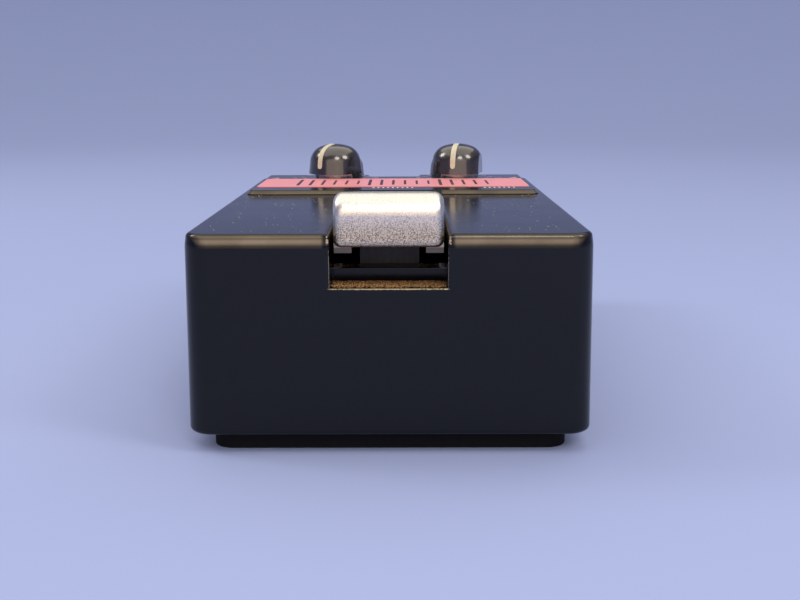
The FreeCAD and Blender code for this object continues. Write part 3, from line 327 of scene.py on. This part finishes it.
def grained_silver(looks):
    """Silver finish on a coarse casting: bright metal whose fine grain tips the surface this way
    and that, so that it sparkles, with dark pits between the grains. Shoes rub the crest clean, so
    it has fewer pits than the face, and its colour whitens with height towards the crest, partly
    wear and partly a painted highlight. The skirts' feet under the nose are darkened with the pit
    colour as painted shade."""
    material, tree, shader, place = finish("silver_grained_casting", Metallic=1.0, Roughness=0.33)
    height = node(tree, "SeparateXYZ", {"Vector": place}).outputs["Z"]
    deck = max(corner[2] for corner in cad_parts["treadle"].bound_box) - CREST_RISE
    skirt, nose = deck - 2.9 * MM, deck - 2.3 * MM
    face, crest = deck - 0.2 * MM, deck + 4.2 * MM
    grain = node(tree, "TexNoise", {"Vector": place, "Scale": 1 / looks.grain, "Detail": 3.0,
                                    "Roughness": 0.6})
    pit = node(tree, "MapRange", {"Value": grain, "From Min": 0.36, "From Max": 0.58,
                                  "To Min": 0.95, "To Max": 0.0})
    # Painted shade on the skirts' feet, fading out up to the nose's foot
    painted_shade = node(tree, "MapRange", {"Value": height, "From Min": skirt, "From Max": nose,
                                    "To Min": looks.painted_shade, "To Max": 0.0})
    # Whiter towards the crest: partly wear, partly painted highlight
    wear_and_highlight = node(tree, "MapRange", {"Value": height, "From Min": face, "From Max": crest})
    pits_left = node(tree, "Math", {0: wear_and_highlight, 1: -0.7, 2: 1.0}, operation="MULTIPLY_ADD")
    pitted = node(tree, "Math", {0: pit, 1: pits_left}, operation="MULTIPLY")
    dark = node(tree, "Math", {0: pitted, 1: painted_shade}, operation="MAXIMUM")
    metal = node(tree, "Mix", {"Factor": wear_and_highlight, "A": rgba(looks.silver), "B": rgba(looks.crest_wear_and_highlight)},
                 data_type="RGBA")
    # The pit colour goes into the pits and, as painted shade, onto the skirts' feet
    skin = node(tree, "Mix", {"Factor": dark, "A": metal.outputs["Result"], "B": rgba(looks.pit)},
                data_type="RGBA")
    relief = node(tree, "Bump", {"Height": grain, "Distance": looks.relief, "Strength": 1.0})
    tree.links.new(skin.outputs["Result"], shader.inputs["Base Color"])
    tree.links.new(relief.outputs[0], shader.inputs["Normal"])
    return material


def mottled(name, first, second, patch, roughness, spread, relief=0.0, stretch=(1, 1, 1),
            **inputs):
    """Finish of a plain made surface: two close colours in soft patches of a given width, with
    roughness that wanders by a spread, and a fine relief a sixth as wide as the patches. They can
    be stretched along an axis."""
    material, tree, shader, whole = finish(name, **inputs)
    place = node(tree, "Mapping", {"Vector": whole, "Scale": stretch}, vector_type="TEXTURE")
    broad = node(tree, "TexNoise", {"Vector": place, "Scale": 1 / patch, "Detail": 4.0})
    skin = node(tree, "Mix", {"Factor": broad, "A": first, "B": second}, data_type="RGBA")
    rough = node(tree, "MapRange", {"Value": broad, "From Min": 0.3, "From Max": 0.7,
                                    "To Min": roughness - spread, "To Max": roughness + spread})
    tree.links.new(skin.outputs["Result"], shader.inputs["Base Color"])
    tree.links.new(rough.outputs[0], shader.inputs["Roughness"])
    if relief:
        fine = node(tree, "TexNoise", {"Vector": place, "Scale": 6 / patch, "Detail": 3.0})
        raised = node(tree, "Bump", {"Height": fine, "Distance": relief, "Strength": 1.0})
        tree.links.new(raised.outputs[0], shader.inputs["Normal"])
    return material


def gloss_moulding(looks):
    """Phenolic knob moulding, polished in its tool: black, very glossy, with fine wiping marks."""
    return mottled("gloss_black_phenolic", rgba(looks.knob), linear("#2e2318"), 3 * MM, 0.28, 0.04,
                   relief=0.002 * MM, IOR=1.65, Coat_Weight=1.0, Coat_IOR=1.55, Coat_Roughness=0.1)


def filled_line(looks):
    """Paint wiped into the knob's groove: flat cream, slightly uneven."""
    return mottled("cream_groove_paint", rgba(looks.line), linear("#cbbf9f"), 1.2 * MM, 0.55, 0.08,
                   relief=0.01 * MM)


def printed_strip(looks):
    """Salmon pink ink screened on vinyl: satin, with faint uneven coverage."""
    return mottled("salmon_screen_print", rgba(looks.strip), linear("#f6a3a6"), 4 * MM, 0.38, 0.06,
                   relief=0.003 * MM, IOR=1.48)


def screened_ink(name, ink):
    """Screened ink: flat and slightly uneven at its own grain."""
    return mottled(name, rgba(ink), tuple(0.85 * c for c in ink) + (1.0,), 0.5 * MM, 0.5, 0.1,
                   relief=0.004 * MM)


def red_lens(looks):
    """Lamp lens, cast in tinted epoxy: clear, glossy red."""
    material, tree, shader, place = finish("red_cast_epoxy", IOR=1.52, Roughness=0.06,
                                           Transmission_Weight=0.75)
    cloud = node(tree, "TexNoise", {"Vector": place, "Scale": 1 / (1.5 * MM), "Detail": 3.0})
    tint = node(tree, "Mix", {"Factor": cloud, "A": rgba(looks.lens), "B": linear("#8f0d0a")},
                data_type="RGBA")
    tree.links.new(tint.outputs["Result"], shader.inputs["Base Color"])
    return material


def rust(looks):
    """Rust dust: dry, dull, from dark brown at the back to ochre near the lip, with its tone stored
    on each crumb."""
    material, tree, shader, place = finish("ochre_rust_dust", Roughness=0.95)
    tone = node(tree, "Attribute", attribute_name="tone").outputs["Fac"]
    speckle = node(tree, "TexNoise", {"Vector": place, "Scale": 1 / (0.25 * MM), "Detail": 5.0})
    depth = node(tree, "SeparateXYZ", {"Vector": place}).outputs["Y"]
    near = node(tree, "MapRange", {"Value": depth, "From Min": at_depth(6 * MM),
                                   "From Max": at_depth(1.5 * MM),
                                   "To Min": -0.24, "To Max": 0.12})
    mixed = node(tree, "Math", {0: tone, 1: speckle}, operation="ADD")
    placed = node(tree, "Math", {0: mixed, 1: near}, operation="ADD")
    spread = node(tree, "MapRange", {"Value": placed, "From Min": 0.62, "From Max": 1.3})
    skin = node(tree, "Mix", {"Factor": spread, "A": rgba(looks.dark), "B": rgba(looks.pale)},
                data_type="RGBA")
    raised = node(tree, "Bump", {"Height": speckle, "Distance": 0.05 * MM, "Strength": 1.0})
    tree.links.new(skin.outputs["Result"], shader.inputs["Base Color"])
    tree.links.new(raised.outputs[0], shader.inputs["Normal"])
    return material


def grid_faces(rows, columns):
    """Quads of an open grid whose points are numbered row by row."""
    a, b = np.meshgrid(np.arange(rows - 1), np.arange(columns - 1), indexing="ij")
    first = (a * columns + b).ravel()
    return np.stack([first, first + 1, first + columns + 1, first + columns], axis=1)


def new_piece(name, points, faces, material, body="case", smooth=True):
    """Piece at the origin from points in metres and faces as rows of point numbers."""
    mesh = bpy.data.meshes.new(name)
    mesh.from_pydata(np.asarray(points).tolist(), [], [list(map(int, f)) for f in faces])
    mesh.polygons.foreach_set("use_smooth", np.full(len(mesh.polygons), smooth))
    mesh.materials.append(material)
    mesh.update()
    piece = bpy.data.objects.new(name, mesh)
    bpy.context.scene.collection.objects.link(piece)
    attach(piece, body)
    return piece


def set_tone(piece, values):
    """Store one number per point for the material to read."""
    attribute = piece.data.attributes.new("tone", "FLOAT", "POINT")
    attribute.data.foreach_set("value", np.asarray(values, np.float32))


def lattice_noise(x, y, cell, rng):
    """Smooth noise from -1 to 1: random values on a square lattice, blended by a cubic step."""
    u, v = x / cell, y / cell
    i, j = np.floor(u).astype(int), np.floor(v).astype(int)
    s, t = u - i, v - j
    s, t = s * s * (3 - 2 * s), t * t * (3 - 2 * t)
    i, j = i - i.min(), j - j.min()
    grid = rng.uniform(-1, 1, (i.max() + 2, j.max() + 2))
    near = grid[i, j] * (1 - s) + grid[i + 1, j] * s
    far = grid[i, j + 1] * (1 - s) + grid[i + 1, j + 1] * s
    return near * (1 - t) + far * t


def pebble():
    """Closed pebble of unit radius: two poles and two rings of six points, with its triangles."""
    turn = np.arange(6) * math.pi / 3
    rings = []
    for latitude, twist in ((-0.5, 0.0), (0.5, math.pi / 6)):
        r, height = math.cos(latitude), np.full(6, math.sin(latitude))
        rings.append(np.stack([r * np.cos(turn + twist), r * np.sin(turn + twist), height], axis=1))
    points = np.vstack([[[0, 0, -1.0]], rings[0], rings[1], [[0, 0, 1.0]]])
    k = np.arange(6)
    n = (k + 1) % 6
    low, high = 1 + k, 7 + k
    low_next, high_next = 1 + n, 7 + n
    faces = np.vstack([
        np.stack([np.zeros(6, int), low_next, low], axis=1),
        np.stack([low, low_next, high], axis=1),
        np.stack([low_next, high_next, high], axis=1),
        np.stack([high, high_next, np.full(6, 13)], axis=1),
    ])
    return points, faces


def scatter(name, centres, sizes, material, rng):
    """Many pebbles in one mesh. Each point is its pebble's centre plus the pebble's own point, made
    uneven by a random share, stretched to its three half sizes and turned about Z."""
    shape, faces = pebble()
    count = len(centres)
    bodies = shape[None] * rng.uniform(0.75, 1.25, (count, len(shape), 1)) * sizes[:, None, :]
    turn = rng.uniform(0, 2 * math.pi, count)[:, None]
    x = bodies[..., 0] * np.cos(turn) - bodies[..., 1] * np.sin(turn)
    y = bodies[..., 0] * np.sin(turn) + bodies[..., 1] * np.cos(turn)
    points = np.stack([x, y, bodies[..., 2]], axis=2) + centres[:, None, :]
    numbers = (faces[None] + (np.arange(count) * len(shape))[:, None, None]).reshape(-1, 3)
    piece = new_piece(name, points.reshape(-1, 3), numbers, material)
    set_tone(piece, np.repeat(rng.uniform(0, 1, count), len(shape)))
    return piece


def stroke(x, y, width):
    """Outline of a line of even width with round ends: its sides stand half the width off along the
    line's normal, and each end is a half circle."""
    x, y = np.asarray(x, float), np.asarray(y, float)
    along = np.arctan2(np.gradient(y), np.gradient(x))
    half = width / 2
    left = np.stack([x - half * np.sin(along), y + half * np.cos(along)], axis=1)
    right = np.stack([x + half * np.sin(along), y - half * np.cos(along)], axis=1)
    sweep = np.linspace(math.pi / 2, -math.pi / 2, 7)[1:-1]
    ends = []
    for end, turn in ((-1, along[-1] + sweep), (0, along[0] + sweep + math.pi)):
        ends.append(np.stack([x[end] + half * np.cos(turn), y[end] + half * np.sin(turn)], axis=1))
    tip, tail = ends
    return np.vstack([left, tip, right[::-1], tail])[::-1]


def ink_piece(name, outlines, thickness, material):
    """Flat printed marks in one mesh: each outline, a ring of n points in the plane and its height,
    becomes a plate."""
    points, faces, start = [], [], 0
    for ring, z in outlines:
        n = len(ring)
        low = np.column_stack([ring, np.full(n, z)])
        high = low + (0, 0, thickness)
        points += [low, high]
        k = np.arange(n)
        after = (k + 1) % n
        faces += (np.stack([k, after, after + n, k + n], axis=1) + start).tolist()
        faces.append((np.arange(n) + n + start).tolist())
        faces.append((np.arange(n)[::-1] + start).tolist())
        start += 2 * n
    return new_piece(name, np.vstack(points), faces, material, smooth=False)


def numeral(text, size, x, y, z):
    """Outlines of a plain number as flat mesh points and faces, centred on x and y."""
    curve = bpy.data.curves.new("numeral", "FONT")
    curve.body, curve.size = text, size
    curve.align_x, curve.align_y = "CENTER", "CENTER"
    holder = bpy.data.objects.new("numeral", curve)
    bpy.context.scene.collection.objects.link(holder)
    graph = bpy.context.evaluated_depsgraph_get()
    mesh = bpy.data.meshes.new_from_object(holder.evaluated_get(graph))
    points = np.zeros(len(mesh.vertices) * 3)
    mesh.vertices.foreach_get("co", points)
    faces = [list(p.vertices) for p in mesh.polygons]
    bpy.data.objects.remove(holder)
    bpy.data.curves.remove(curve)
    bpy.data.meshes.remove(mesh)
    return points.reshape(-1, 3) + (x, y, z), faces


class PEDAL_OT_case(bpy.types.Operator):
    """Enamel the case, and leave dust on its decks"""
    bl_idname = "pedal.case"
    bl_label = "Case"

    def execute(self, context):
        looks = context.scene.pedal_case
        dress(stoved_enamel(looks), "top_shell")
        rng = np.random.default_rng(7)
        count = looks.specks
        margin, rim, panel = 3 * MM, 2.6 * MM, 66.6 * MM
        x = rng.uniform(CASE_LOW.x + margin, CASE_HIGH.x - margin, count)
        depth = rim + (panel - rim) * rng.uniform(0, 1, count) ** 1.3
        on_deck = np.abs(x) > NOTCH_HALF + 1.6 * MM
        x, depth = x[on_deck], depth[on_deck]
        size = rng.uniform(0.04, 0.15, (len(x), 3)) * (1, 1, 0.6) * MM
        places = np.column_stack([x, at_depth(depth), DECK_Z + 0.3 * size[:, 2]])
        # House dust: dry, pale specks without any shine
        dust = mottled("grey_house_dust", linear("#d8d6d2"), linear("#9a9488"), 0.3 * MM, 0.95,
                       0.03)
        scatter("deck_dust", places, size, dust, rng)
        return {"FINISHED"}


class PEDAL_OT_treadle(bpy.types.Operator):
    """Finish the treadle, its plunger block, hinge and spring, and the knobs' steel shafts"""
    bl_idname = "pedal.treadle"
    bl_label = "Treadle"

    def execute(self, context):
        dress(grained_silver(context.scene.pedal_treadle), "treadle")
        # Moulded nylon: satin black, dusty in upright streaks
        block = mottled("dusty_black_nylon", linear("#19191f"), linear("#605e63"), 0.9 * MM, 0.6,
                        0.1, relief=0.01 * MM, stretch=(1, 1, 3))
        dress(block, "treadle_plunger")
        # Turned steel: a cool, even shine
        turned = mottled("turned_steel", linear("#9b9a99"), linear("#8a8987"), 1.5 * MM, 0.32, 0.08,
                         relief=0.002 * MM, Metallic=1.0)
        dress(turned, "hinge_pin", "hinge_clips", *["shaft_" + name for name in KNOBS])
        # Drawn spring wire: smooth, bright and grey
        wire = mottled("patented_spring_wire", linear("#8c8c8f"), linear("#76757a"), 1.0 * MM, 0.3,
                       0.06, Metallic=1.0)
        dress(wire, "return_spring")
        return {"FINISHED"}


class PEDAL_OT_controls(bpy.types.Operator):
    """Finish the knobs, their pointer lines and potentiometers, and the lamp"""
    bl_idname = "pedal.controls"
    bl_label = "Controls"

    def execute(self, context):
        looks = context.scene.pedal_controls
        dress(gloss_moulding(looks), *["knob_" + name for name in KNOBS])
        dress(filled_line(looks), *["pointer_" + name for name in KNOBS])
        dress(red_lens(looks), "lamp_lens")
        # Moulded nylon: an even satin black
        bezel = mottled("satin_black_nylon", linear("#131316"), linear("#1d1d20"), 2 * MM, 0.4,
                        0.06, relief=0.004 * MM)
        dress(bezel, "lamp_bezel")
        # Tinned steel, pressed: a soft, slightly yellow shine
        can = mottled("tinned_steel_can", linear("#a8a496"), linear("#8f8b80"), 3 * MM, 0.3, 0.1,
                      Metallic=1.0)
        dress(can, *["pot_" + name for name in KNOBS])
        return {"FINISHED"}


class PEDAL_OT_sockets(bpy.types.Operator):
    """Finish the side sockets, the power socket, and all nuts and washers"""
    bl_idname = "pedal.sockets"
    bl_label = "Sockets"

    def execute(self, context):
        # Moulded nylon: dense black with a soft shine
        nylon = mottled("black_socket_nylon", linear("#101012"), linear("#1a1a1d"), 2 * MM, 0.32,
                        0.06, relief=0.004 * MM)
        dress(nylon, "input_jack", "output_jack", "dc_socket")
        # Nickel plate: bright and a little warm
        nickel = mottled("bright_nickel_plate", linear("#c6c1b6"), linear("#a9a398"), 2.5 * MM, 0.2,
                         0.07, relief=0.002 * MM, Metallic=1.0)
        dress(nickel, "jack_nuts", "jack_washers", "dc_nut", "pot_nuts", "pot_washers")
        return {"FINISHED"}


class PEDAL_OT_underside(bpy.types.Operator):
    """Finish the rubber mat, the base plate, its screws and the boards' screws"""
    bl_idname = "pedal.underside"
    bl_label = "Underside"

    def execute(self, context):
        # Moulded rubber: nearly black and quite dull, with a fine skin
        rubber = mottled("moulded_black_rubber", linear("#09090b"), linear("#131317"), 1.2 * MM,
                         0.82, 0.08, relief=0.05 * MM, Specular_IOR_Level=0.2)
        dress(rubber, "rubber_mat")
        # Powder coat on sheet steel: satin black with a pebbled skin
        sheet = mottled("black_powder_coated_steel", linear("#131317"), linear("#1c1c21"), 1.5 * MM,
                        0.5, 0.06, relief=0.015 * MM)
        dress(sheet, "base_plate")
        # Zinc plate: grey and half bright
        zinc = mottled("bright_zinc_plate", linear("#b4b3a8"), linear("#8f8d80"), 1.0 * MM, 0.34,
                       0.09, relief=0.003 * MM, Metallic=1.0)
        dress(zinc, "base_screws", "board_screws")
        return {"FINISHED"}


class PEDAL_OT_inside(bpy.types.Operator):
    """Finish what the case holds: boards, parts, switch, battery and leads"""
    bl_idname = "pedal.inside"
    bl_label = "Inside"

    def execute(self, context):
        # Phenolic laminate: brown and resin smooth
        laminate = mottled("brown_phenolic_board", linear("#8a6a34"), linear("#735526"), 3 * MM,
                           0.45, 0.08, relief=0.006 * MM)
        dress(laminate, "main_board", "switch_board")
        # Moulded epoxy: matt charcoal
        epoxy = mottled("black_chip_epoxy", linear("#18181a"), linear("#232326"), 1 * MM, 0.6, 0.05,
                        relief=0.006 * MM)
        dress(epoxy, "ic_chips")
        # Sleeve shrunk round the can: smooth glossy blue
        sleeve = mottled("blue_shrunk_sleeve", linear("#203a78"), linear("#17305f"), 2 * MM, 0.3,
                         0.05)
        dress(sleeve, "capacitors")
        # Moulded thermoset: off white and satin
        trimmer = mottled("off_white_thermoset", linear("#d8d4c8"), linear("#c6c0b0"), 1 * MM, 0.5,
                          0.05)
        dress(trimmer, "trimmers")
        # Moulded nylon: satin black
        switch = mottled("black_switch_nylon", linear("#1b1b1e"), linear("#26262a"), 1.5 * MM, 0.45,
                         0.05, relief=0.004 * MM)
        dress(switch, "foot_switch_body", "battery_snap")
        # Turned acetal: milky white, as light goes a little way in
        acetal = mottled("white_acetal", linear("#e6e2d6"), linear("#d4cfc0"), 2 * MM, 0.35, 0.05,
                         Subsurface_Weight=0.1)
        dress(acetal, "foot_switch_pin")
        # Steel can, printed and varnished: smooth dark grey
        tin = mottled("printed_steel_can", linear("#30343a"), linear("#3b3f46"), 5 * MM, 0.3, 0.06)
        dress(tin, "battery")
        # Open foam: dull grey with coarse cells
        foam = mottled("grey_open_foam", linear("#4a4a4c"), linear("#2e2e30"), 0.8 * MM, 0.95, 0.03,
                       relief=0.2 * MM)
        dress(foam, "foam_pad")
        # Extruded vinyl: red and half glossy
        vinyl = mottled("red_vinyl_insulation", linear("#a01c1c"), linear("#861515"), 2 * MM, 0.4,
                        0.05)
        dress(vinyl, "battery_leads", "hookup_wires")
        return {"FINISHED"}


class PEDAL_OT_prints(bpy.types.Operator):
    """Print the strip, the scale marks round the knobs and the plain dashes"""
    bl_idname = "pedal.prints"
    bl_label = "Prints"

    def execute(self, context):
        looks = context.scene.pedal_prints
        dress(printed_strip(looks), "face_label")
        self.fading_bars(looks)
        self.scales(looks)
        self.dashes(looks)
        return {"FINISHED"}

    def fading_bars(self, looks):
        """A row of bars on the strip. Each is a little shorter and thinner than the last, and every
        sixth starts again."""
        middle = (LABEL_LOW.y + LABEL_HIGH.y) / 2
        pitch, tallest, widest = 2.9 * MM, 14 * MM, 0.75 * MM
        rings = []
        for k in range(looks.bars):
            x = (k - (looks.bars - 1) / 2) * pitch
            step = k % 6
            half = tallest / 2 * 0.9 ** step
            bar = stroke((x, x), (middle - half, middle + half), widest * 0.92 ** step)
            rings.append((bar, LABEL_HIGH.z))
        ink_piece("strip_bars", rings, looks.ink, screened_ink("plum_screened_ink", looks.dark_ink))

    def scales(self, looks):
        """Eleven ticks round each knob, where there is room for them, with 0 and 10 at the ends."""
        ring, tick_width, numeral_size = 7.9 * MM, 0.28 * MM, 2.0 * MM
        aside, before_front, before_rear = 10.4 * MM, 2.6 * MM, 5.2 * MM
        rings, points, faces = [], [], []
        start = 0
        for name in KNOBS:
            low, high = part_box("pot_" + name)
            x0, y0 = (low.x + high.x) / 2, (low.y + high.y) / 2
            front = at_depth(PANEL_BACK) > y0
            z = PANEL_Z if front else REAR_DECK_Z
            for k in range(11):
                angle = math.radians(-150 + 30 * k)
                reach = np.array((ring, ring + looks.tick))
                x, y = x0 + reach * math.sin(angle), y0 + reach * math.cos(angle)
                on_panel = not front or y.max() < at_depth(PANEL_BACK) - 0.6 * MM
                if on_panel and y.min() > LABEL_HIGH.y + 0.2 * MM:
                    rings.append((stroke(x, y, tick_width), z))
            for text, side in (("0", -1), ("10", 1)):
                x, y = x0 + side * aside, y0 - (before_front if front else before_rear)
                flat, outlines = numeral(text, numeral_size, x, y, z + looks.ink)
                points.append(flat)
                faces += [[i + start for i in face] for face in outlines]
                start += len(flat)
        ink = screened_ink("pale_screened_ink", looks.pale_ink)
        ink_piece("scale_ticks", rings, looks.ink, ink)
        new_piece("scale_numbers", np.vstack(points), faces, ink, smooth=False)

    def dashes(self, looks):
        """Two short rows of plain dashes in front of the strip, and an arrow towards each side."""
        pitch, dash_width = 1.15 * MM, 0.42 * MM
        near, far = LABEL_LOW.y - 2.4 * MM, LABEL_LOW.y - 1.0 * MM
        rings = []
        for centre, count in ((0.0, 9), (25.3 * MM, 7)):
            for k in range(count):
                x = centre + (k - (count - 1) / 2) * pitch
                rings.append((stroke((x, x), (near, far), dash_width), PANEL_Z))
        white = screened_ink("white_screened_ink", looks.white_ink)
        ink_piece("front_dashes", rings, looks.ink, white)
        arrows = []
        y = LABEL_HIGH.y + 3.0 * MM
        for x in (-31.0 * MM, 31.0 * MM):
            back = x + 0.9 * MM
            arrow = np.array([(x - 1.1 * MM, y), (back, y - 1.0 * MM), (back, y + 1.0 * MM)])
            arrows.append((arrow, PANEL_Z))
        ink_piece("side_arrows", arrows, looks.ink, bpy.data.materials["pale_screened_ink"])


class PEDAL_OT_ledge(bpy.types.Operator):
    """Gather rust dust and crumbs on the notch's two ledges"""
    bl_idname = "pedal.ledge"
    bl_label = "Ledge"

    def execute(self, context):
        looks = context.scene.pedal_ledge
        dry = rust(looks)
        rng = np.random.default_rng(21)
        self.film(looks, dry, rng)
        self.crumbs(looks, dry, rng)
        return {"FINISHED"}

    def film(self, looks, dry, rng):
        """Dust film as a height over the ledge: two layers of noise that rise towards the inner
        wall. Where the height is under zero the film lies in the casting and doesn't show."""
        gap, lip, climb, deepest = 0.05 * MM, 0.9 * MM, 2.4 * MM, 0.05 * MM
        x = np.linspace(-NOTCH_HALF + gap, NOTCH_HALF - gap, 200)
        depth = np.linspace(0.8 * MM, LEDGE_DEPTH - 0.02 * MM, 64)
        grid_depth, grid_x = np.meshgrid(depth, x, indexing="ij")
        coarse = lattice_noise(grid_x, grid_depth, 1.8 * MM, rng)
        fine = lattice_noise(grid_x, grid_depth, 0.3 * MM, rng)
        rise = np.clip((grid_depth - lip) / climb, 0, 1) - 0.95
        height = np.clip(looks.depth * (rise + 0.5 * coarse + 0.9 * fine), -deepest, None)
        points = np.column_stack([grid_x.ravel(), at_depth(grid_depth.ravel()),
                                  LEDGE_Z + height.ravel()])
        film = new_piece("rust_film", points, grid_faces(*grid_x.shape), dry)
        set_tone(film, (0.3 + 0.3 * coarse + 0.4 * fine).ravel())

    def crumbs(self, looks, dry, rng):
        """Crumbs on the lower ledge, thicker towards the wall behind it, and a few small ones at
        the two ends of the upper ledge."""
        count, wall = looks.crumbs, NOTCH_HALF - 0.3 * MM
        x = rng.uniform(-wall, wall, count)
        inward = rng.uniform(0, 1, count) ** 0.7
        depth = 1.0 * MM + inward * (LEDGE_DEPTH - 1.3 * MM)
        size = rng.uniform(0.04, 0.12, (count, 3)) * (1, 1, 0.8) * MM
        z = LEDGE_Z + 0.5 * size[:, 2] + 0.5 * looks.depth * inward
        upper = rng.uniform(0, 1, count) < 0.08
        depth = np.where(upper, LEDGE_DEPTH + 0.4 * MM + inward * 3.5 * MM, depth)
        x = np.where(upper, np.sign(x) * wall * (1 - 0.5 * (x / NOTCH_HALF) ** 2), x)
        size = np.where(upper[:, None], np.minimum(size, 0.05 * MM), size)
        z = np.where(upper, SHELF_Z + 0.4 * size[:, 2], z)
        scatter("rust_crumbs", np.column_stack([x, at_depth(depth), z]), size, dry, rng)


class PEDAL_OT_stage(bpy.types.Operator):
    """Set up the floor, the soft lamps and the camera"""
    bl_idname = "pedal.stage"
    bl_label = "Stage"

    def execute(self, context):
        looks = context.scene.pedal_stage
        self.floor(looks)
        self.lamps(looks)
        self.camera(looks)
        context.scene.view_settings.view_transform = "Standard"
        return {"FINISHED"}

    def floor(self, looks):
        """Round floor whose edge rises smoothly: height grows with the square of the distance
        past the flat middle."""
        flat, edge, steepness = 0.9, 3.0, 0.35
        darker = tuple(0.97 * c for c in looks.floor) + (1.0,)
        # Painted floor: matt and pale
        matt = mottled("pale_matt_floor", rgba(looks.floor), darker, 0.2, 0.9, 0.03)
        radius = np.concatenate([[0.001], np.linspace(0.4, edge, 27)])
        turn = np.linspace(0, 2 * math.pi, 65)
        r, a = np.meshgrid(radius, turn, indexing="ij")
        z = steepness * np.clip(r - flat, 0, None) ** 2
        points = np.column_stack([(r * np.cos(a)).ravel(), (r * np.sin(a)).ravel(), z.ravel()])
        mesh = bpy.data.meshes.new("floor")
        mesh.from_pydata(points.tolist(), [], grid_faces(*r.shape).tolist())
        mesh.polygons.foreach_set("use_smooth", np.full(len(mesh.polygons), True))
        mesh.materials.append(matt)
        floor = bpy.data.objects.new("floor", mesh)
        bpy.context.scene.collection.objects.link(floor)

    def lamps(self, looks):
        """A wide warm ceiling of light, a low warm light in front that the leaning edges and the
        knobs' sides reflect, and three round lamps that show in the knobs."""
        world = bpy.data.worlds.new("studio")
        world.use_nodes = True
        background = world.node_tree.nodes["Background"]
        background.inputs["Color"].default_value = linear("#c9d3ea")
        background.inputs["Strength"].default_value = 0.3
        bpy.context.scene.world = world
        self.lamp("ceiling", (0.0, 0.35, 1.35), 2.4, 2.4, looks.ceiling, "#fff4e6")
        away, across, raised = 0.9, 0.30, math.radians(40)
        for name, azimuth in (("left", -100), ("front", 12), ("right", 58)):
            a, out = math.radians(azimuth), away * math.cos(raised)
            place = (out * math.sin(a), -out * math.cos(a), away * math.sin(raised))
            self.lamp(name, place, across, across, looks.spot, "#fff8ee")
        self.lamp("low", (0.0, -0.95, 0.34), 1.6, 0.45, looks.low, "#ffe6cb")

    def lamp(self, name, place, width, height, power, hex_colour):
        """Area light: an even square one under a metre is round, and all but the ceiling face the
        pedal."""
        light = bpy.data.lights.new(name, "AREA")
        light.shape = "DISK" if width == height < 1 else "RECTANGLE"
        light.size, light.size_y = width, height
        light.energy, light.color = power, linear(hex_colour)[:3]
        holder = bpy.data.objects.new(name, light)
        bpy.context.scene.collection.objects.link(holder)
        x, y, z = place
        holder.location = place
        if name != "ceiling":
            tilt, heading = math.atan2(math.hypot(x, y), z), math.atan2(y, x)
            holder.rotation_euler = (tilt, 0, heading + math.pi / 2)

    def camera(self, looks):
        """Camera low in front of the treadle, tilted down as in the photograph."""
        data = bpy.data.cameras.new("camera")
        data.sensor_width = 36.0
        data.lens = looks.lens
        data.clip_start = 0.01
        camera = bpy.data.objects.new("camera", data)
        bpy.context.scene.collection.objects.link(camera)
        camera.location = (looks.aside, FRONT_Y - looks.ahead, DECK_Z + looks.above)
        pitch, roll, yaw = (math.radians(angle) for angle in (11.78, 0.2, 0.243))
        camera.rotation_euler = (math.pi / 2 - pitch, roll, yaw)
        bpy.context.scene.camera = camera


class PEDAL_PT_looks(bpy.types.Panel):
    """Lists the pedal's operators and their settings"""
    bl_idname = "PEDAL_PT_looks"
    bl_label = "Delay pedal"
    bl_space_type = "VIEW_3D"
    bl_region_type = "UI"
    bl_category = "Pedal"

    def draw(self, context):
        for operator, group in STEPS:
            self.layout.operator(operator.bl_idname)
            if group:
                looks = getattr(context.scene, group)
                for key in looks.__annotations__:
                    self.layout.prop(looks, key)


GROUPS = (
    ("pedal_case", CaseLooks),
    ("pedal_treadle", TreadleLooks),
    ("pedal_controls", ControlLooks),
    ("pedal_prints", PrintLooks),
    ("pedal_ledge", LedgeLooks),
    ("pedal_stage", StageLooks),
)
STEPS = (
    (PEDAL_OT_stage, "pedal_stage"),
    (PEDAL_OT_case, "pedal_case"),
    (PEDAL_OT_treadle, "pedal_treadle"),
    (PEDAL_OT_controls, "pedal_controls"),
    (PEDAL_OT_sockets, None),
    (PEDAL_OT_underside, None),
    (PEDAL_OT_inside, None),
    (PEDAL_OT_prints, "pedal_prints"),
    (PEDAL_OT_ledge, "pedal_ledge"),
)


def register():
    for key, group in GROUPS:
        bpy.utils.register_class(group)
        setattr(bpy.types.Scene, key, PointerProperty(type=group))
    for operator, _ in STEPS:
        bpy.utils.register_class(operator)
    bpy.utils.register_class(PEDAL_PT_looks)


def unregister():
    bpy.utils.unregister_class(PEDAL_PT_looks)
    for operator, _ in reversed(STEPS):
        bpy.utils.unregister_class(operator)
    for key, group in reversed(GROUPS):
        delattr(bpy.types.Scene, key)
        bpy.utils.unregister_class(group)


def main():
    """Make every piece."""
    register()
    for operator, _ in STEPS:
        group, name = operator.bl_idname.split(".")
        getattr(getattr(bpy.ops, group), name)()


if __name__ == "__main__":
    main()
